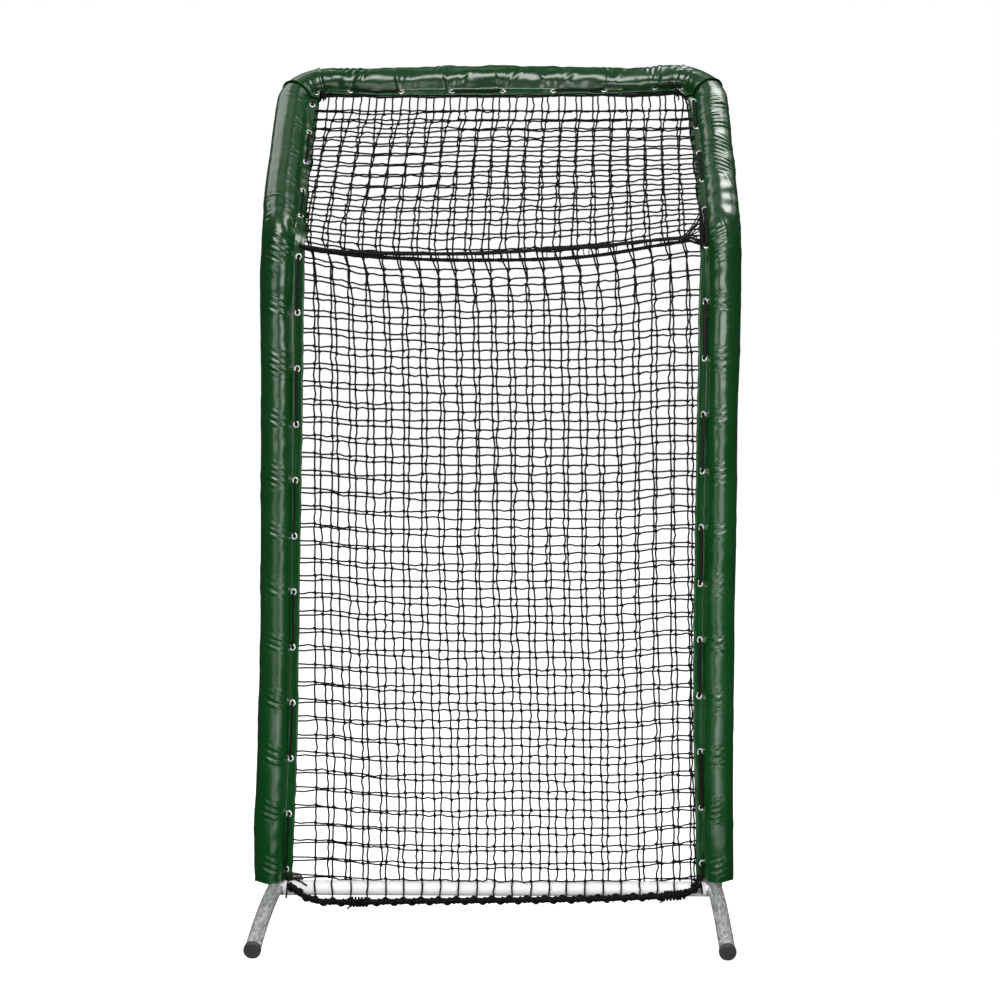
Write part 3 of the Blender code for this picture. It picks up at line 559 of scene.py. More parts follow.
# %% Spare turns of the foot rope, in two lumps near its ends
LUMPS = ((-0.372, -0.322), (0.428, 0.486))
LUMP_R = 0.011
LUMP_CORD_R = 0.003
LUMP_PITCH = 0.0082
LUMP_TAIL_R = 0.0022
loft = Loft()
for start, end in LUMPS:
    inside = foot_line[(foot_line[:, 0] > start) & (foot_line[:, 0] < end)]
    fine = smooth_line(inside, 0.0008)
    loft.add_tube(wound_round(fine, LUMP_R, LUMP_PITCH), LUMP_CORD_R, CORD_SIDES)
    tail = [inside[2], inside[2] + (-0.006, -0.004, -0.010), inside[2] + (-0.014, -0.003, -0.017)]
    loft.add_tube(smooth_line(tail, 0.002), LUMP_TAIL_R, CORD_SIDES)
foot_lumps = make_piece("foot_rope_spare_turns", loft, twine_fibre)
place_on(SCREEN, foot_lashing, "black_cord")
place_on(SCREEN, foot_lumps, "black_cord")
finish_cord(foot_rope, "foot_rope")

# %% [markdown]
# ## Vinyl covers
# Each cover is one strip of vinyl rolled round the foam and brought together on the inner side,
# where its two edges lie on each other as a flap. Seen from its end it is a teardrop. The strip
# is lofted along the hoop, given the pulls and creases of the photograph by moving its points,
# and thickened to 1.2 mm. A cloth simulation would give creases too, but not in these places.

# %% The teardrop outline of a cover
PAD_R = 0.0395
COVER_WALL = 1.2 * MM
FLAP_EDGE = 0.0655
FLAP_HALF = 2.4 * MM
FLAP_ROOT = 0.0425
GROMMET_LINE = 0.0505
GROMMET_HOLE = 0.0054
HEM_WIDTH = 0.009
HEM_STEP = 0.5 * MM
ROLL_STEP = 0.0026
FLAP_STEP = 0.0020


def cover_outline(room):
    """(p, q) points from the front flap edge, round the roll, to the rear flap edge."""
    radius = PAD_R + room
    half = FLAP_HALF + room
    root = FLAP_ROOT + room
    leave = math.acos(radius / math.hypot(root, half)) + math.atan2(half, root)
    edge = FLAP_EDGE + room
    flap = []
    for p in np.linspace(edge, root, int((edge - FLAP_ROOT) / FLAP_STEP) + 1):
        flap.append((p, half + (HEM_STEP if p > edge - HEM_WIDTH else 0.0)))
    steps = int(radius * 2 * (math.pi - leave) / ROLL_STEP)
    roll = [(radius * math.cos(a), radius * math.sin(a))
            for a in np.linspace(leave, 2 * math.pi - leave, steps)]
    start = np.array(flap[-1])
    lead = [tuple(start + (np.array(roll[0]) - start) * share) for share in (0.2, 0.4, 0.6, 0.8)]
    rear_lead = [(p, -q) for p, q in reversed(lead)]
    rear_flap = [(p, -q) for p, q in reversed(flap)]
    return np.array(flap + lead + roll + rear_lead + rear_flap)


outline = cover_outline(0.0)
print("cover outline:", len(outline), "points round", round(2 * PAD_R * 1000), "mm")

# %% Where the photograph shows each pad and flap
# The real pads and flaps don't follow the steel quite. Each table gives distances along the hoop
# from the foot of a post, and there millimetres outwards from the hoop's line, millimetres of
# swelling, or degrees by which the flap turns to the front.
PAD_OUT = {
    "left": [(0.0, 13), (0.10, 16), (0.21, 11), (0.36, 5), (0.46, 2), (0.62, -2.6), (0.82, -4), (1.03, -5),
             (1.23, -6.5), (1.39, -6), (1.52, -3.5), (1.60, -7), (1.66, -12), (1.75, -4), (1.87, 2.5),
             (2.0, 3), (2.06, 8), (2.15, 5), (2.24, 9), (2.32, 4), (2.40, -4), (2.48, -4), (2.58, 2),
             (2.85, 9)],
    "right": [(0.0, 8), (0.2, 6), (0.4, 6), (0.57, 9), (0.69, 8), (0.82, 12), (1.1, 14.5), (1.3, 16),
              (2.30, 16), (2.37, 9), (2.43, -5), (2.50, -6), (2.60, 0), (2.85, 9)],
}
FLAP_OUT = {
    "left": [(0.03, 21), (0.17, 14), (0.31, 8), (0.46, 5), (0.60, 2.8), (0.74, 0), (0.88, -2), (1.03, -5),
             (1.17, -8.4), (1.31, -11), (1.46, -13), (1.60, -14.5), (1.75, -14), (1.87, -9), (1.99, -5),
             (2.11, 0), (2.22, 0), (2.30, 12), (2.38, 10), (2.46, 0), (2.85, 0)],
    "right": [(0.045, 16.5), (0.19, 13.5), (0.33, 9), (0.48, 7), (0.62, 7), (0.77, 8.4), (1.34, 17.8),
              (1.48, 19.3), (1.63, 26), (1.87, 26), (1.99, 22.6), (2.11, 21), (2.36, 21), (2.48, 8),
              (2.60, 4), (2.85, 0)],
}
PAD_SWELL = {
    "left": [(2.05, 0), (2.22, 3), (2.32, 0)],
    "right": [(1.25, 0), (1.42, 7), (2.25, 7), (2.36, 0)],
}
FLAP_TURN = {
    "left": [(0.0, -14), (1.56, -14), (1.64, 0), (1.74, 40), (2.15, 30), (2.24, 0)],
    "right": [(0.0, -20), (1.56, -20), (1.66, 0), (1.78, 20), (2.12, 20), (2.24, 0)],
}


def at_side(stops, s):
    """The value of one of the tables above at s, on whichever side s is."""
    right = s > S_MIDDLE
    t = HOOP_LENGTH - s if right else s
    return float(eased(stops["right" if right else "left"], t))


print("left pad's foot:", round(at_side(PAD_OUT, 0.0), 1), "mm outwards")

# %% A section of a pad, moved to where the tables put it
FLAP_BLEND = (0.034, 0.018)    # The roll passes into the flap from this p on, over this run.
TURN_BLEND = (0.032, 0.016)
TURN_ROOT = 0.036
SWELL_RUN = 0.034


def plain_share(value, start, run):
    """A share that goes evenly from 0 to 1 over the run."""
    return np.clip((value - start) / run, 0, 1)


def smooth_share(value, start, run):
    """A share that goes from 0 to 1 over the run, without a corner at either end."""
    share = plain_share(value, start, run)
    return share**2 * (3 - 2 * share)


def in_section(p, q, pad, flap, swell, turn):
    """Move points of a pad's section: its roll, its swollen outer side and its turned flap."""
    share = smooth_share(p, *FLAP_BLEND)
    moved = p + pad + (flap - pad) * share - swell * smooth_share(-p, 0.0, SWELL_RUN)
    angle = turn * smooth_share(p, *TURN_BLEND)
    root = TURN_ROOT + pad
    reach = moved - root
    return root + reach * np.cos(angle) + q * np.sin(angle), q * np.cos(angle) - reach * np.sin(angle)


def section_values(rows):
    """The shifts, the swelling and the turn of each row's section, as columns."""
    values = [[-at_side(PAD_OUT, s) * MM, -at_side(FLAP_OUT, s) * MM, at_side(PAD_SWELL, s) * MM,
               math.radians(at_side(FLAP_TURN, s))] for s in rows]
    return (column[:, None] for column in np.array(values).T)


# %% [markdown]
# ### Creases
# Pulled vinyl folds in soft waves, and a hem or a sharp pull stands up as a narrow ridge. They
# could be sculpted by hand or painted as bumps, but bumps don't change the outline. So both are
# lines in the cover's own coordinates, s along the hoop and p inwards, and the points near them
# move along the surface's normal. Laced grommets pull the waves in groups of three to six.

# %% Creases as lines that lift or sink the cover
class Creases:
    """Ridges and groups of pleats that raise the vinyl on one face of a cover."""

    def __init__(self):
        self.lines = []
        self.groups = []

    def add(self, start, end, width, height):
        self.lines.append((np.array(start), np.array(end), width, height))

    def add_group(self, middle, run, pitch, count, height):
        """A few parallel pleats. run is half of one pleat's length as a step in s and p."""
        self.groups.append((np.array(middle), np.array(run), pitch, count, height))

    def lift(self, s, p):
        """How far the surface moves outwards at s and p."""
        total = np.zeros(np.broadcast(s, p).shape)
        for start, end, width, height in self.lines:
            run = end - start
            length = float(np.hypot(*run))
            near = (s > min(start[0], end[0]) - 4 * width) & (s < max(start[0], end[0]) + 4 * width)
            if not near.any():
                continue
            ds = s[near] - start[0]
            dp = p[near] - start[1]
            share = np.clip((ds * run[0] + dp * run[1]) / length**2, 0, 1)
            beyond = np.hypot(ds - share * run[0], dp - share * run[1])
            taper = np.sqrt(np.clip(4 * share * (1 - share), 0, 1))
            ridge = np.exp(-(beyond / width) ** 2) - 0.5 * np.exp(-(beyond / (2 * width)) ** 2)
            total[near] += height * taper * ridge
        for middle, run, pitch, count, height in self.groups:
            length = float(np.hypot(*run))
            near = np.abs(s - middle[0]) < pitch * count
            if not near.any():
                continue
            ds = s[near] - middle[0]
            dp = p[near] - middle[1]
            along = (ds * run[0] + dp * run[1]) / length
            across = (ds * run[1] - dp * run[0]) / length
            wave = np.cos(2 * np.pi * across / pitch + 18 * along)
            window = np.exp(-(across / (pitch * count / 2)) ** 4) * np.exp(-(along / length) ** 4)
            total[near] += height * wave * window
        return total


# %% Grommet places
LEFT_POST_GROMMETS = [0.0265 + 0.1431 * k for k in range(12)]
RIGHT_POST_GROMMETS = [0.045 + 0.14395 * k for k in range(12)]
ARM_FOOT = S_ARM - BEND_TANGENT
LEFT_ARM_GROMMETS = [ARM_FOOT + v for v in (0.071, 0.186, 0.308, 0.440)]
RIGHT_ARM_GROMMETS = [ARM_FOOT + v for v in (0.085, 0.209, 0.331, 0.447)]
LEFT_CORNER_GROMMETS = (S_CORNER - 0.009, S_CORNER + CORNER_R * math.radians(44))
RIGHT_CORNER_GROMMETS = (S_CORNER + 0.003, S_CORNER + CORNER_R * math.radians(60))
TOP_PITCH = 0.1411
left_spots = LEFT_POST_GROMMETS + LEFT_ARM_GROMMETS + [LEFT_CORNER_GROMMETS[0]]
right_spots = RIGHT_POST_GROMMETS + RIGHT_ARM_GROMMETS + [RIGHT_CORNER_GROMMETS[0]]
right_spots = [HOOP_LENGTH - s for s in right_spots]
top_spots = [S_MIDDLE + 0.0075 + TOP_PITCH * (k - 3) for k in range(7)]
top_spots = [LEFT_CORNER_GROMMETS[1]] + top_spots + [HOOP_LENGTH - RIGHT_CORNER_GROMMETS[1]]
all_spots = sorted(left_spots + top_spots + right_spots)
print("grommets:", len(all_spots))

# %% Pleats beside the posts' grommets
POST_SPOTS = 12
dice = random.Random(11)
front_creases = Creases()
rear_creases = Creases()


def mirrored(place):
    """The same place on the right side of the hoop."""
    return HOOP_LENGTH - place[0], place[1]


def crease_group(creases, side, spot, count):
    """Slanted pleats beside a laced grommet, all falling to the right as in the photograph."""
    pitch = dice.uniform(0.0135, 0.0175)
    height = dice.uniform(1.3, 1.9) * MM
    if side == "left":
        creases.add_group((spot + 0.014, 0.006), (-0.010, 0.024), pitch, count, height)
    else:
        creases.add_group((spot + 0.004, 0.008), (-0.008, -0.022), pitch, count, height)
    for k in range(2):
        fall = dice.uniform(0.014, 0.022)
        reach = dice.uniform(0.8, 1.15)
        if side == "left":
            top = spot + 0.036 - 0.030 * k + dice.uniform(-0.006, 0.006)
            start, end = (top, -0.018 * reach), (top - fall, 0.026 * reach)
        else:
            top = HOOP_LENGTH - spot + 0.010 - 0.024 * k + dice.uniform(-0.006, 0.006)
            start, end = mirrored((top, 0.030 * reach)), mirrored((top - fall, -0.012 * reach))
        creases.add(start, end, 0.0052, dice.uniform(1.0, 1.7) * MM)


for creases in (front_creases, rear_creases):
    for k, spot in enumerate(left_spots[:POST_SPOTS]):
        crease_group(creases, "left", spot, dice.choice((3, 4, 5)) if k % 2 else 3)
    for k, spot in enumerate(right_spots[:POST_SPOTS]):
        crease_group(creases, "right", spot, dice.choice((3, 4, 5)) if k % 2 else 3)
print("pleat groups on each face:", len(front_creases.groups))

# %% Puckers of the top cover
# Each pucker runs from beside a grommet over the roll: the grommet's number, steps along and over.
TOP_PUCKERS = (
    (2, -0.026, -0.004), (2, -0.018, -0.012), (2, 0.024, 0.008), (3, -0.028, 0.010), (3, 0.054, 0.006),
    (4, -0.020, 0.006), (4, 0.012, -0.004), (4, 0.026, 0.006), (4, 0.060, 0.004), (5, -0.044, 0.008),
    (5, 0.050, -0.012), (5, 0.064, 0.010), (6, 0.022, -0.014), (6, 0.042, -0.014), (6, 0.062, -0.012),
    (7, -0.014, -0.006), (7, 0.004, -0.012), (7, 0.020, -0.006), (1, 0.030, -0.008), (1, 0.048, -0.010))
for number, step, over in TOP_PUCKERS:
    spot = top_spots[number]
    front_creases.add((spot + 0.25 * step, 0.044), (spot + step, over), 0.0055, dice.uniform(1.8, 2.9) * MM)
    rear_creases.add((spot - 0.2 * step, 0.044), (spot - step, over), 0.0055, dice.uniform(1.4, 2.2) * MM)

# %% Pleats of the top and of the right arm
# Where the pull is strongest the puckers are parallel pleats. Each group is given by its x on the
# top, half the run of one pleat, the pitch, the count and the height in millimetres.
TOP_PLEATS = (
    (-0.415, (0.010, -0.022), 0.0180, 5, 1.7), (0.426, (0.004, -0.020), 0.0160, 3, 1.5),
    (0.500, (0.012, -0.014), 0.0160, 3, 1.4), (0.300, (0.007, -0.014), 0.0170, 3, 1.2),
    (-0.170, (-0.008, -0.018), 0.0170, 3, 1.2))
for x, run, pitch, count, height in TOP_PLEATS:
    front_creases.add_group((S_MIDDLE + x, -0.010), run, pitch, count, height * MM)
# The right arm is pleated along its whole length, one way above its middle and the other way below.
ARM_PLEATS = (
    (2.17, (0.010, 0.022), 0.0160, 5, 1.6), (2.08, (0.009, 0.022), 0.0170, 4, 1.8),
    (1.98, (-0.009, 0.022), 0.0160, 5, 1.9), (1.89, (-0.010, 0.022), 0.0165, 5, 1.7))
for t, run, pitch, count, height in ARM_PLEATS:
    front_creases.add_group((HOOP_LENGTH - t, -0.006), run, pitch, count, height * MM)
print("pleat groups on the front face:", len(front_creases.groups))

# %% Fine folds along the top's flap
for fold in range(3):
    for lot in range(9):
        start = S_TOP + 0.05 + 0.095 * lot + dice.uniform(-0.02, 0.02)
        level = 0.0445 + 0.0055 * fold + dice.uniform(-0.001, 0.001)
        run = dice.uniform(0.05, 0.11)
        end = (start + run, level + dice.uniform(-0.002, 0.002))
        front_creases.add((start, level), end, 0.0018, 0.7 * MM)
print("ridges on the front face:", len(front_creases.lines))

# %% Folds of the bends and arms
# Left side: short lines of the photograph, as (t, p) ends, width and height in millimetres.
LEFT_FOLDS = (
    ((1.768, -0.036), (1.762, 0.014), 4.0, 2.6), ((1.742, -0.030), (1.768, -0.012), 4.0, 2.0),
    ((1.705, -0.040), (1.700, -0.012), 3.5, -2.6), ((1.688, -0.040), (1.684, -0.016), 3.5, -2.6),
    ((1.686, 0.038), (1.672, 0.046), 3.0, 2.2), ((1.626, 0.024), (1.612, 0.040), 3.0, 2.0),
    ((1.614, 0.022), (1.600, 0.040), 3.0, 2.0), ((1.602, 0.020), (1.588, 0.038), 3.0, 2.0),
    ((1.598, -0.036), (1.628, -0.004), 4.5, 2.4), ((1.598, -0.036), (1.590, 0.000), 4.5, 2.0),
    ((1.566, -0.010), (1.552, 0.006), 4.0, 2.2), ((1.655, -0.020), (1.660, 0.026), 6.0, -1.8),
    ((2.215, -0.020), (2.200, 0.026), 4.0, 1.6), ((2.235, -0.016), (2.222, 0.030), 4.0, 1.6),
    ((2.090, -0.004), (2.105, 0.022), 5.0, 0.6), ((1.960, -0.004), (1.972, 0.022), 5.0, 0.6))
# Right side, the same way.
RIGHT_FOLDS = (
    ((1.850, -0.012), (1.790, -0.026), 4.5, 2.6), ((1.790, -0.026), (1.735, -0.036), 4.5, 2.6),
    ((1.842, -0.022), (1.822, -0.038), 3.5, 2.0), ((1.690, 0.012), (1.655, -0.004), 4.0, 2.4),
    ((1.655, -0.004), (1.628, -0.006), 4.0, 2.4), ((1.688, -0.040), (1.640, -0.026), 4.5, 2.4),
    ((1.632, -0.014), (1.630, 0.014), 4.5, -2.4), ((1.700, 0.030), (1.680, 0.004), 5.0, 1.8),
    ((2.130, -0.024), (2.100, 0.020), 6.0, 1.8), ((2.190, -0.030), (2.150, 0.010), 6.0, 1.8),
    ((2.000, -0.024), (1.985, 0.018), 7.0, 1.5), ((1.920, -0.028), (1.905, 0.016), 7.0, 1.5))
for start, end, width, height in LEFT_FOLDS:
    front_creases.add(start, end, width * MM, height * MM)
for start, end, width, height in RIGHT_FOLDS:
    front_creases.add(mirrored(start), mirrored(end), width * MM, height * MM)
print("folds:", len(LEFT_FOLDS), "left and", len(RIGHT_FOLDS), "right")

# %% Pulls beside the arms' grommets
RIDGE_WIDTH = 0.0050
for spot in left_spots[POST_SPOTS:] + right_spots[POST_SPOTS:]:
    pull = 0.8 * MM if spot < S_MIDDLE else 1.5 * MM
    for lean in (-1, 1):
        for creases in (front_creases, rear_creases):
            creases.add((spot + 0.006 * lean, 0.047), (spot + lean * dice.uniform(0.015, 0.03), 0.012),
                        RIDGE_WIDTH, pull * dice.uniform(0.7, 1.1))
print("ridges on the front face:", len(front_creases.lines))

# %% Folds inside the rounded corners
for right in (False, True):
    for lot in range(3):
        s = S_CORNER + CORNER_R * (0.42 + 0.30 * lot)
        s = HOOP_LENGTH - s if right else s
        for creases in (front_creases, rear_creases):
            end = (s + dice.uniform(-0.018, 0.018), 0.004)
            creases.add((s, 0.046), end, RIDGE_WIDTH, dice.uniform(1.4, 2.4) * MM)
print("ridges on both faces:", len(front_creases.lines) + len(rear_creases.lines))


# %% Rows of a cover
ROW_STEP = 0.003
FINE_ROW_STEP = 0.002
FINE_REACH = 0.011


def cover_rows(start, end, spots):
    """Distances along the hoop: 3 mm apart, and 2 mm beside a grommet."""
    rows = [start]
    while rows[-1] < end:
        near = any(abs(rows[-1] + FINE_ROW_STEP / 2 - spot) < FINE_REACH for spot in spots)
        rows.append(rows[-1] + (FINE_ROW_STEP if near else ROW_STEP))
    rows[-1] = end
    return np.array(rows)


print("rows of the top cover:", len(cover_rows(S_TOP, HOOP_LENGTH - S_TOP, top_spots)))

# %% Unevenness that every cover has
slow_uneven = waves(3, 7, 0.10, 0.32)
crumple = waves(6, 8, 0.028, 0.060)
fine_uneven = waves(4, 9, 0.035, 0.09)
flap_wave = waves(5, 6, 0.07, 0.20)
SLOW_HEIGHT = 1.0 * MM
FINE_HEIGHT = 0.5 * MM
TAUT_SHARE = 0.75              # The left arm is drawn taut, so it is this much smoother.
TAUT_FROM = (1.72, 0.12)
TAUT_TO = (2.20, 0.10)
CRUMPLE_AT = 1.675
CRUMPLE_RUN = 0.055
CRUMPLE_HEIGHT = 0.9 * MM
TOP_FROM = (S_TOP - 0.03, 0.05)
TOP_CRUMPLE = 1.0 * MM


def unevenness(s, around):
    """How far the roll stands off its plain form, before folds and hems."""
    t = np.minimum(s, HOOP_LENGTH - s)
    slack = 1 - TAUT_SHARE * smooth_share(s, *TAUT_FROM) * (1 - smooth_share(s, *TAUT_TO))
    plain = SLOW_HEIGHT * slow_uneven(s, around) + FINE_HEIGHT * fine_uneven(s, around)
    in_bend = np.exp(-((t - CRUMPLE_AT) / CRUMPLE_RUN) ** 2)
    on_top = smooth_share(t, *TOP_FROM)
    return slack * plain + (in_bend * CRUMPLE_HEIGHT + on_top * TOP_CRUMPLE) * crumple(s, around)


# %% Points of a cover
HEM_RUN = 0.0035
TUCK = 4.5 * MM                # The foot of a pad is tucked in under its foam, and droops a little.
TUCK_RUN = 0.010
HEM_DROOP = 2.2 * MM
DROOP_RUN = 0.030
FLARE = 11 * MM                # The left bend's flap flares out where its rope is tied.
FLARE_AT = 1.678
FLARE_RUN = 0.022
FLARE_BLEND = (0.042, 0.022)   # Over these p the flare and the flap's wave grow from nothing.
WAVE_BLEND = (0.040, 0.020)
EDGE_WANDER = 0.8 * MM
FLAP_WAVE = 1.3 * MM


def surface_directions(shape, room):
    """Which way each point of the outline faces. Both faces of the flap look straight out."""
    step = np.gradient(shape, axis=0)
    step /= np.linalg.norm(step, axis=1, keepdims=True)
    outward = np.stack([-step[:, 1], step[:, 0]], axis=1)
    outward *= np.sign((outward * (shape + (1e-6, 0))).sum(axis=1, keepdims=True))
    outward[np.abs(shape[:, 1]) <= FLAP_HALF + room + HEM_STEP + 1e-6] = (0, 1)
    outward[:, 1] = np.where(shape[:, 1] < 0, -np.abs(outward[:, 1]), np.abs(outward[:, 1]))
    return outward


def cover_grid(rows, room, hem=0.0):
    """Points of a cover, with the drift of the pad, its creases and the wave of its flap."""
    shape = cover_outline(room)
    outward = surface_directions(shape, room)
    places = [hoop_place(s) for s in rows]
    centre, along, inward, front = (np.array([tuple(place[k]) for place in places]) for k in range(4))
    s = rows[:, None] + 0 * shape[:, 0]
    p = shape[:, 0] + 0 * rows[:, None]
    q = shape[:, 1] + 0 * rows[:, None]
    t = np.minimum(s, HOOP_LENGTH - s)
    on_flap = smooth_share(p, *FLAP_BLEND)
    around = np.arctan2(q, p) * PAD_R
    lift = np.where(q > 0, front_creases.lift(s, p), rear_creases.lift(s, p))
    lift = lift + (1 - on_flap) * unevenness(s, around)
    end_near = np.minimum(rows - rows[0], rows[-1] - rows)[:, None]
    lift = lift + hem * np.exp(-(end_near / HEM_RUN) ** 2)
    lift = lift - TUCK * np.exp(-(t / TUCK_RUN) ** 2) * (1 - on_flap)
    droop = HEM_DROOP * np.exp(-(t / DROOP_RUN) ** 2)
    droop = droop * np.sin(around / PAD_R * 3 + 0.6) * np.sign(S_MIDDLE - s)
    p_new, q_new = in_section(p + outward[:, 0] * lift, q + outward[:, 1] * lift, *section_values(rows))
    p_new += on_flap * EDGE_WANDER * fine_uneven(s, 0.0)
    p_new += FLARE * np.exp(-((s - FLARE_AT) / FLARE_RUN) ** 2) * plain_share(p, *FLARE_BLEND)
    q_new += on_flap * FLAP_WAVE * flap_wave(s, 0.0) * plain_share(p, *WAVE_BLEND)
    return (centre[:, None, :] + inward[:, None, :] * p_new[..., None] + front[:, None, :] * q_new[..., None]
            + along[:, None, :] * droop[..., None])


print("points in two rows:", cover_grid(np.array([0.50, 0.51]), 0.0).shape[1] * 2)


# %% Places on the finished flap
def flap_frame(s):
    """The directions along, inwards and to the front of the turned flap at s."""
    _, along, inward, front = hoop_place(s)
    turn = math.radians(at_side(FLAP_TURN, s))
    return (along, inward * math.cos(turn) - front * math.sin(turn),
            inward * math.sin(turn) + front * math.cos(turn))


def flap_point(s, p, q):
    """A point of the flap at s, p inwards and q above its middle."""
    point, _, inward, front = hoop_place(s)
    p_new, q_new = in_section(np.array([[p]]), np.array([[q]]), *section_values([s]))
    p_new = float(p_new[0, 0]) + EDGE_WANDER * float(fine_uneven(s, 0.0))
    q_new = float(q_new[0, 0]) + FLAP_WAVE / 2 * float(flap_wave(s, 0.0))
    return point + inward * p_new + front * q_new


print("first grommet:", [round(v, 3) for v in flap_point(left_spots[0], GROMMET_LINE, 0.0)])

# %% Build a cover and open its grommet holes
def vinyl_cover(node, start, end, spots, room, hem):
    """One cover, lofted along its stretch of the hoop, with a hole for every grommet."""
    rows = cover_rows(start, end, spots)
    shape = cover_outline(room)
    grid = cover_grid(rows, room, hem)
    blocked = np.zeros((len(rows), len(shape)), dtype=bool)
    for spot in spots:
        distance = np.hypot(rows[:, None] - spot, shape[None, :, 0] - GROMMET_LINE)
        blocked |= distance < GROMMET_HOLE
    keep = ~(blocked[:-1, :-1] | blocked[:-1, 1:] | blocked[1:, 1:] | blocked[1:, :-1])
    loft = Loft()
    loft.add_grid(grid, keep=keep)
    cover = make_piece(f"{node}_vinyl", loft, vinyl)
    wall = cover.modifiers.new("wall", "SOLIDIFY")
    wall.thickness = COVER_WALL
    wall.offset = 0.0
    place_on(SCREEN, cover, "green_vinyl", node)


# %% The five covers
# The side covers run on under the corner covers, and so does the top's.
CORNER_LAP = math.radians(30)
CORNER_START = math.radians(22)
CORNER_STOP = math.radians(19)
SIDE_END = S_CORNER + CORNER_R * CORNER_LAP
TOP_START = S_TOP - CORNER_R * CORNER_LAP
CORNER_ENDS = (S_CORNER + CORNER_R * CORNER_START, S_TOP - CORNER_R * CORNER_STOP)
CORNER_ROOM = 1.9 * MM
CORNER_HEM = 3.4 * MM
PLAIN_HEM = 0.3 * MM
cover_plans = [
    ("left_side_cover", -0.004, SIDE_END, 0.0),
    ("top_cover", TOP_START, HOOP_LENGTH - TOP_START, 0.0),
    ("right_side_cover", HOOP_LENGTH - SIDE_END, HOOP_LENGTH - 0.003, 0.0),
    ("left_corner_cover", *CORNER_ENDS, CORNER_ROOM),
    ("right_corner_cover", HOOP_LENGTH - CORNER_ENDS[1], HOOP_LENGTH - CORNER_ENDS[0], CORNER_ROOM),
]
for node, start, end, room in cover_plans:
    vinyl_cover(node, start, end, all_spots, room, CORNER_HEM if room else PLAIN_HEM)

# %% [markdown]
# ### Foam
# Under the vinyl is a split foam sleeve. It shows only at the foot of a post, but it fills the
# cover. A plain tube would come through the vinyl where the pad leans away from the steel, so the
# sleeve's outer skin moves with the pad's section while its bore stays round the steel tube.

# %% Foam sleeves
FOAM_GAP = 1.9 * MM
FOAM_SIDES = 48
BORE_R = TUBE_R + 0.4 * MM
THINNEST_FOAM = 0.7 * MM
FOAM_END_GAP = 0.020
FOAM_FOOT_GAP = 0.015


def foam_sleeve(name, start, end):
    rows = np.linspace(start, end, max(8, int((end - start) / 0.02)))
    angle = turns_of(FOAM_SIDES)
    depth = PAD_R - COVER_WALL - FOAM_GAP
    p = depth * np.cos(angle) + 0 * rows[:, None]
    q = depth * np.sin(angle) + 0 * rows[:, None]
    p, q = in_section(p, q, *section_values(rows))
    reach = np.hypot(p, q)
    grow = np.maximum(reach, BORE_R + THINNEST_FOAM) / reach
    rings = []
    for k, s in enumerate(rows):
        point, _, inward, front = (np.array(tuple(v)) for v in hoop_place(s))
        outer = point + np.outer(p[k] * grow[k], inward) + np.outer(q[k] * grow[k], front)
        inner = point + np.outer(BORE_R * np.cos(angle), inward) + np.outer(BORE_R * np.sin(angle), front)
        rings.append((outer, inner))
    loft = Loft()
    skin = [rings[0][1]] + [outer for outer, _ in rings] + [inner for _, inner in reversed(rings)]
    loft.add_grid(np.array(skin), wrap=True)
    sleeve = make_piece(f"{name}_sleeve", loft, foam_skin)
    sleeve.data.set_sharp_from_angle(angle=math.radians(40))
    place_on(SCREEN, sleeve, "foam", name)


for name, start, end in (("post_foam", FOAM_FOOT_GAP, S_BEND - FOAM_END_GAP),
                         ("overhead_foam", S_ARM + FOAM_END_GAP, S_CORNER - FOAM_END_GAP)):
    foam_sleeve(f"left_{name}", start, end)
    foam_sleeve(f"right_{name}", HOOP_LENGTH - end, HOOP_LENGTH - start)
foam_sleeve("top_foam", S_TOP + FOAM_END_GAP, HOOP_LENGTH - S_TOP - FOAM_END_GAP)

# %% [markdown]
# ## Grommets
# A plated eyelet is pressed through the flap at every lace hole. One eyelet could be copied to
# every hole, but the flap turns and is thicker at the corners, so each is made in its own place:
# its section is a letter I with rolled rims, turned round the hole.

# %% Grommets
GROMMET_STEPS = 24


def grommet_profile(half):
    """(radius, height) points of an eyelet that clamps a flap of the given half thickness."""
    rim = [(0.0047, half + 0.4 * MM), (0.0051, half + 1.3 * MM), (0.0061, half + 1.8 * MM),
           (0.0076, half + 1.6 * MM), (0.0088, half + 0.9 * MM), (0.0093, half + 0.1 * MM),
           (0.0088, half - 0.5 * MM), (0.0056, half - 0.7 * MM)]
    return rim + [(r, -h) for r, h in reversed(rim)]


def grommet_grid(s, room):
    profile = grommet_profile(FLAP_HALF + room)
    centre = flap_point(s, GROMMET_LINE, 0.0)
    along, inward, front = flap_frame(s)
    rings = []
    for k in range(GROMMET_STEPS):
        angle = 2 * math.pi * k / GROMMET_STEPS
        spoke = along * math.cos(angle) + inward * math.sin(angle)
        rings.append([tuple(centre + spoke * r + front * h) for r, h in profile])
    rings.append(rings[0])
    return np.array(rings)


def corner_room(*places):
    """How much thicker half the flap is at any of the places, for a corner cover over it."""
    ends = [min(s, HOOP_LENGTH - s) for s in places]
    return CORNER_ROOM if any(CORNER_ENDS[0] < t < CORNER_ENDS[1] for t in ends) else 0.0


for name, spots in (("left", left_spots), ("top", top_spots), ("right", right_spots)):
    loft = Loft()
    for spot in spots:
        loft.add_grid(grommet_grid(spot, corner_room(spot)), wrap=True)
    grommets = make_piece(f"{name}_grommets", loft, grommet_metal)
    place_on(SCREEN, grommets, "zinc_fasteners")

# %% [markdown]
# ## Laces
# One cord runs along each flap as a running stitch, in front on one span and behind on the
# next, and draws the flap's two layers together on the net's edge. The right lace is a flat
# braid twice as wide as the others, and each lace fills the grommet where it goes through. A
# bevelled curve would be round everywhere, so the lace is lofted and keeps its width on the flap.

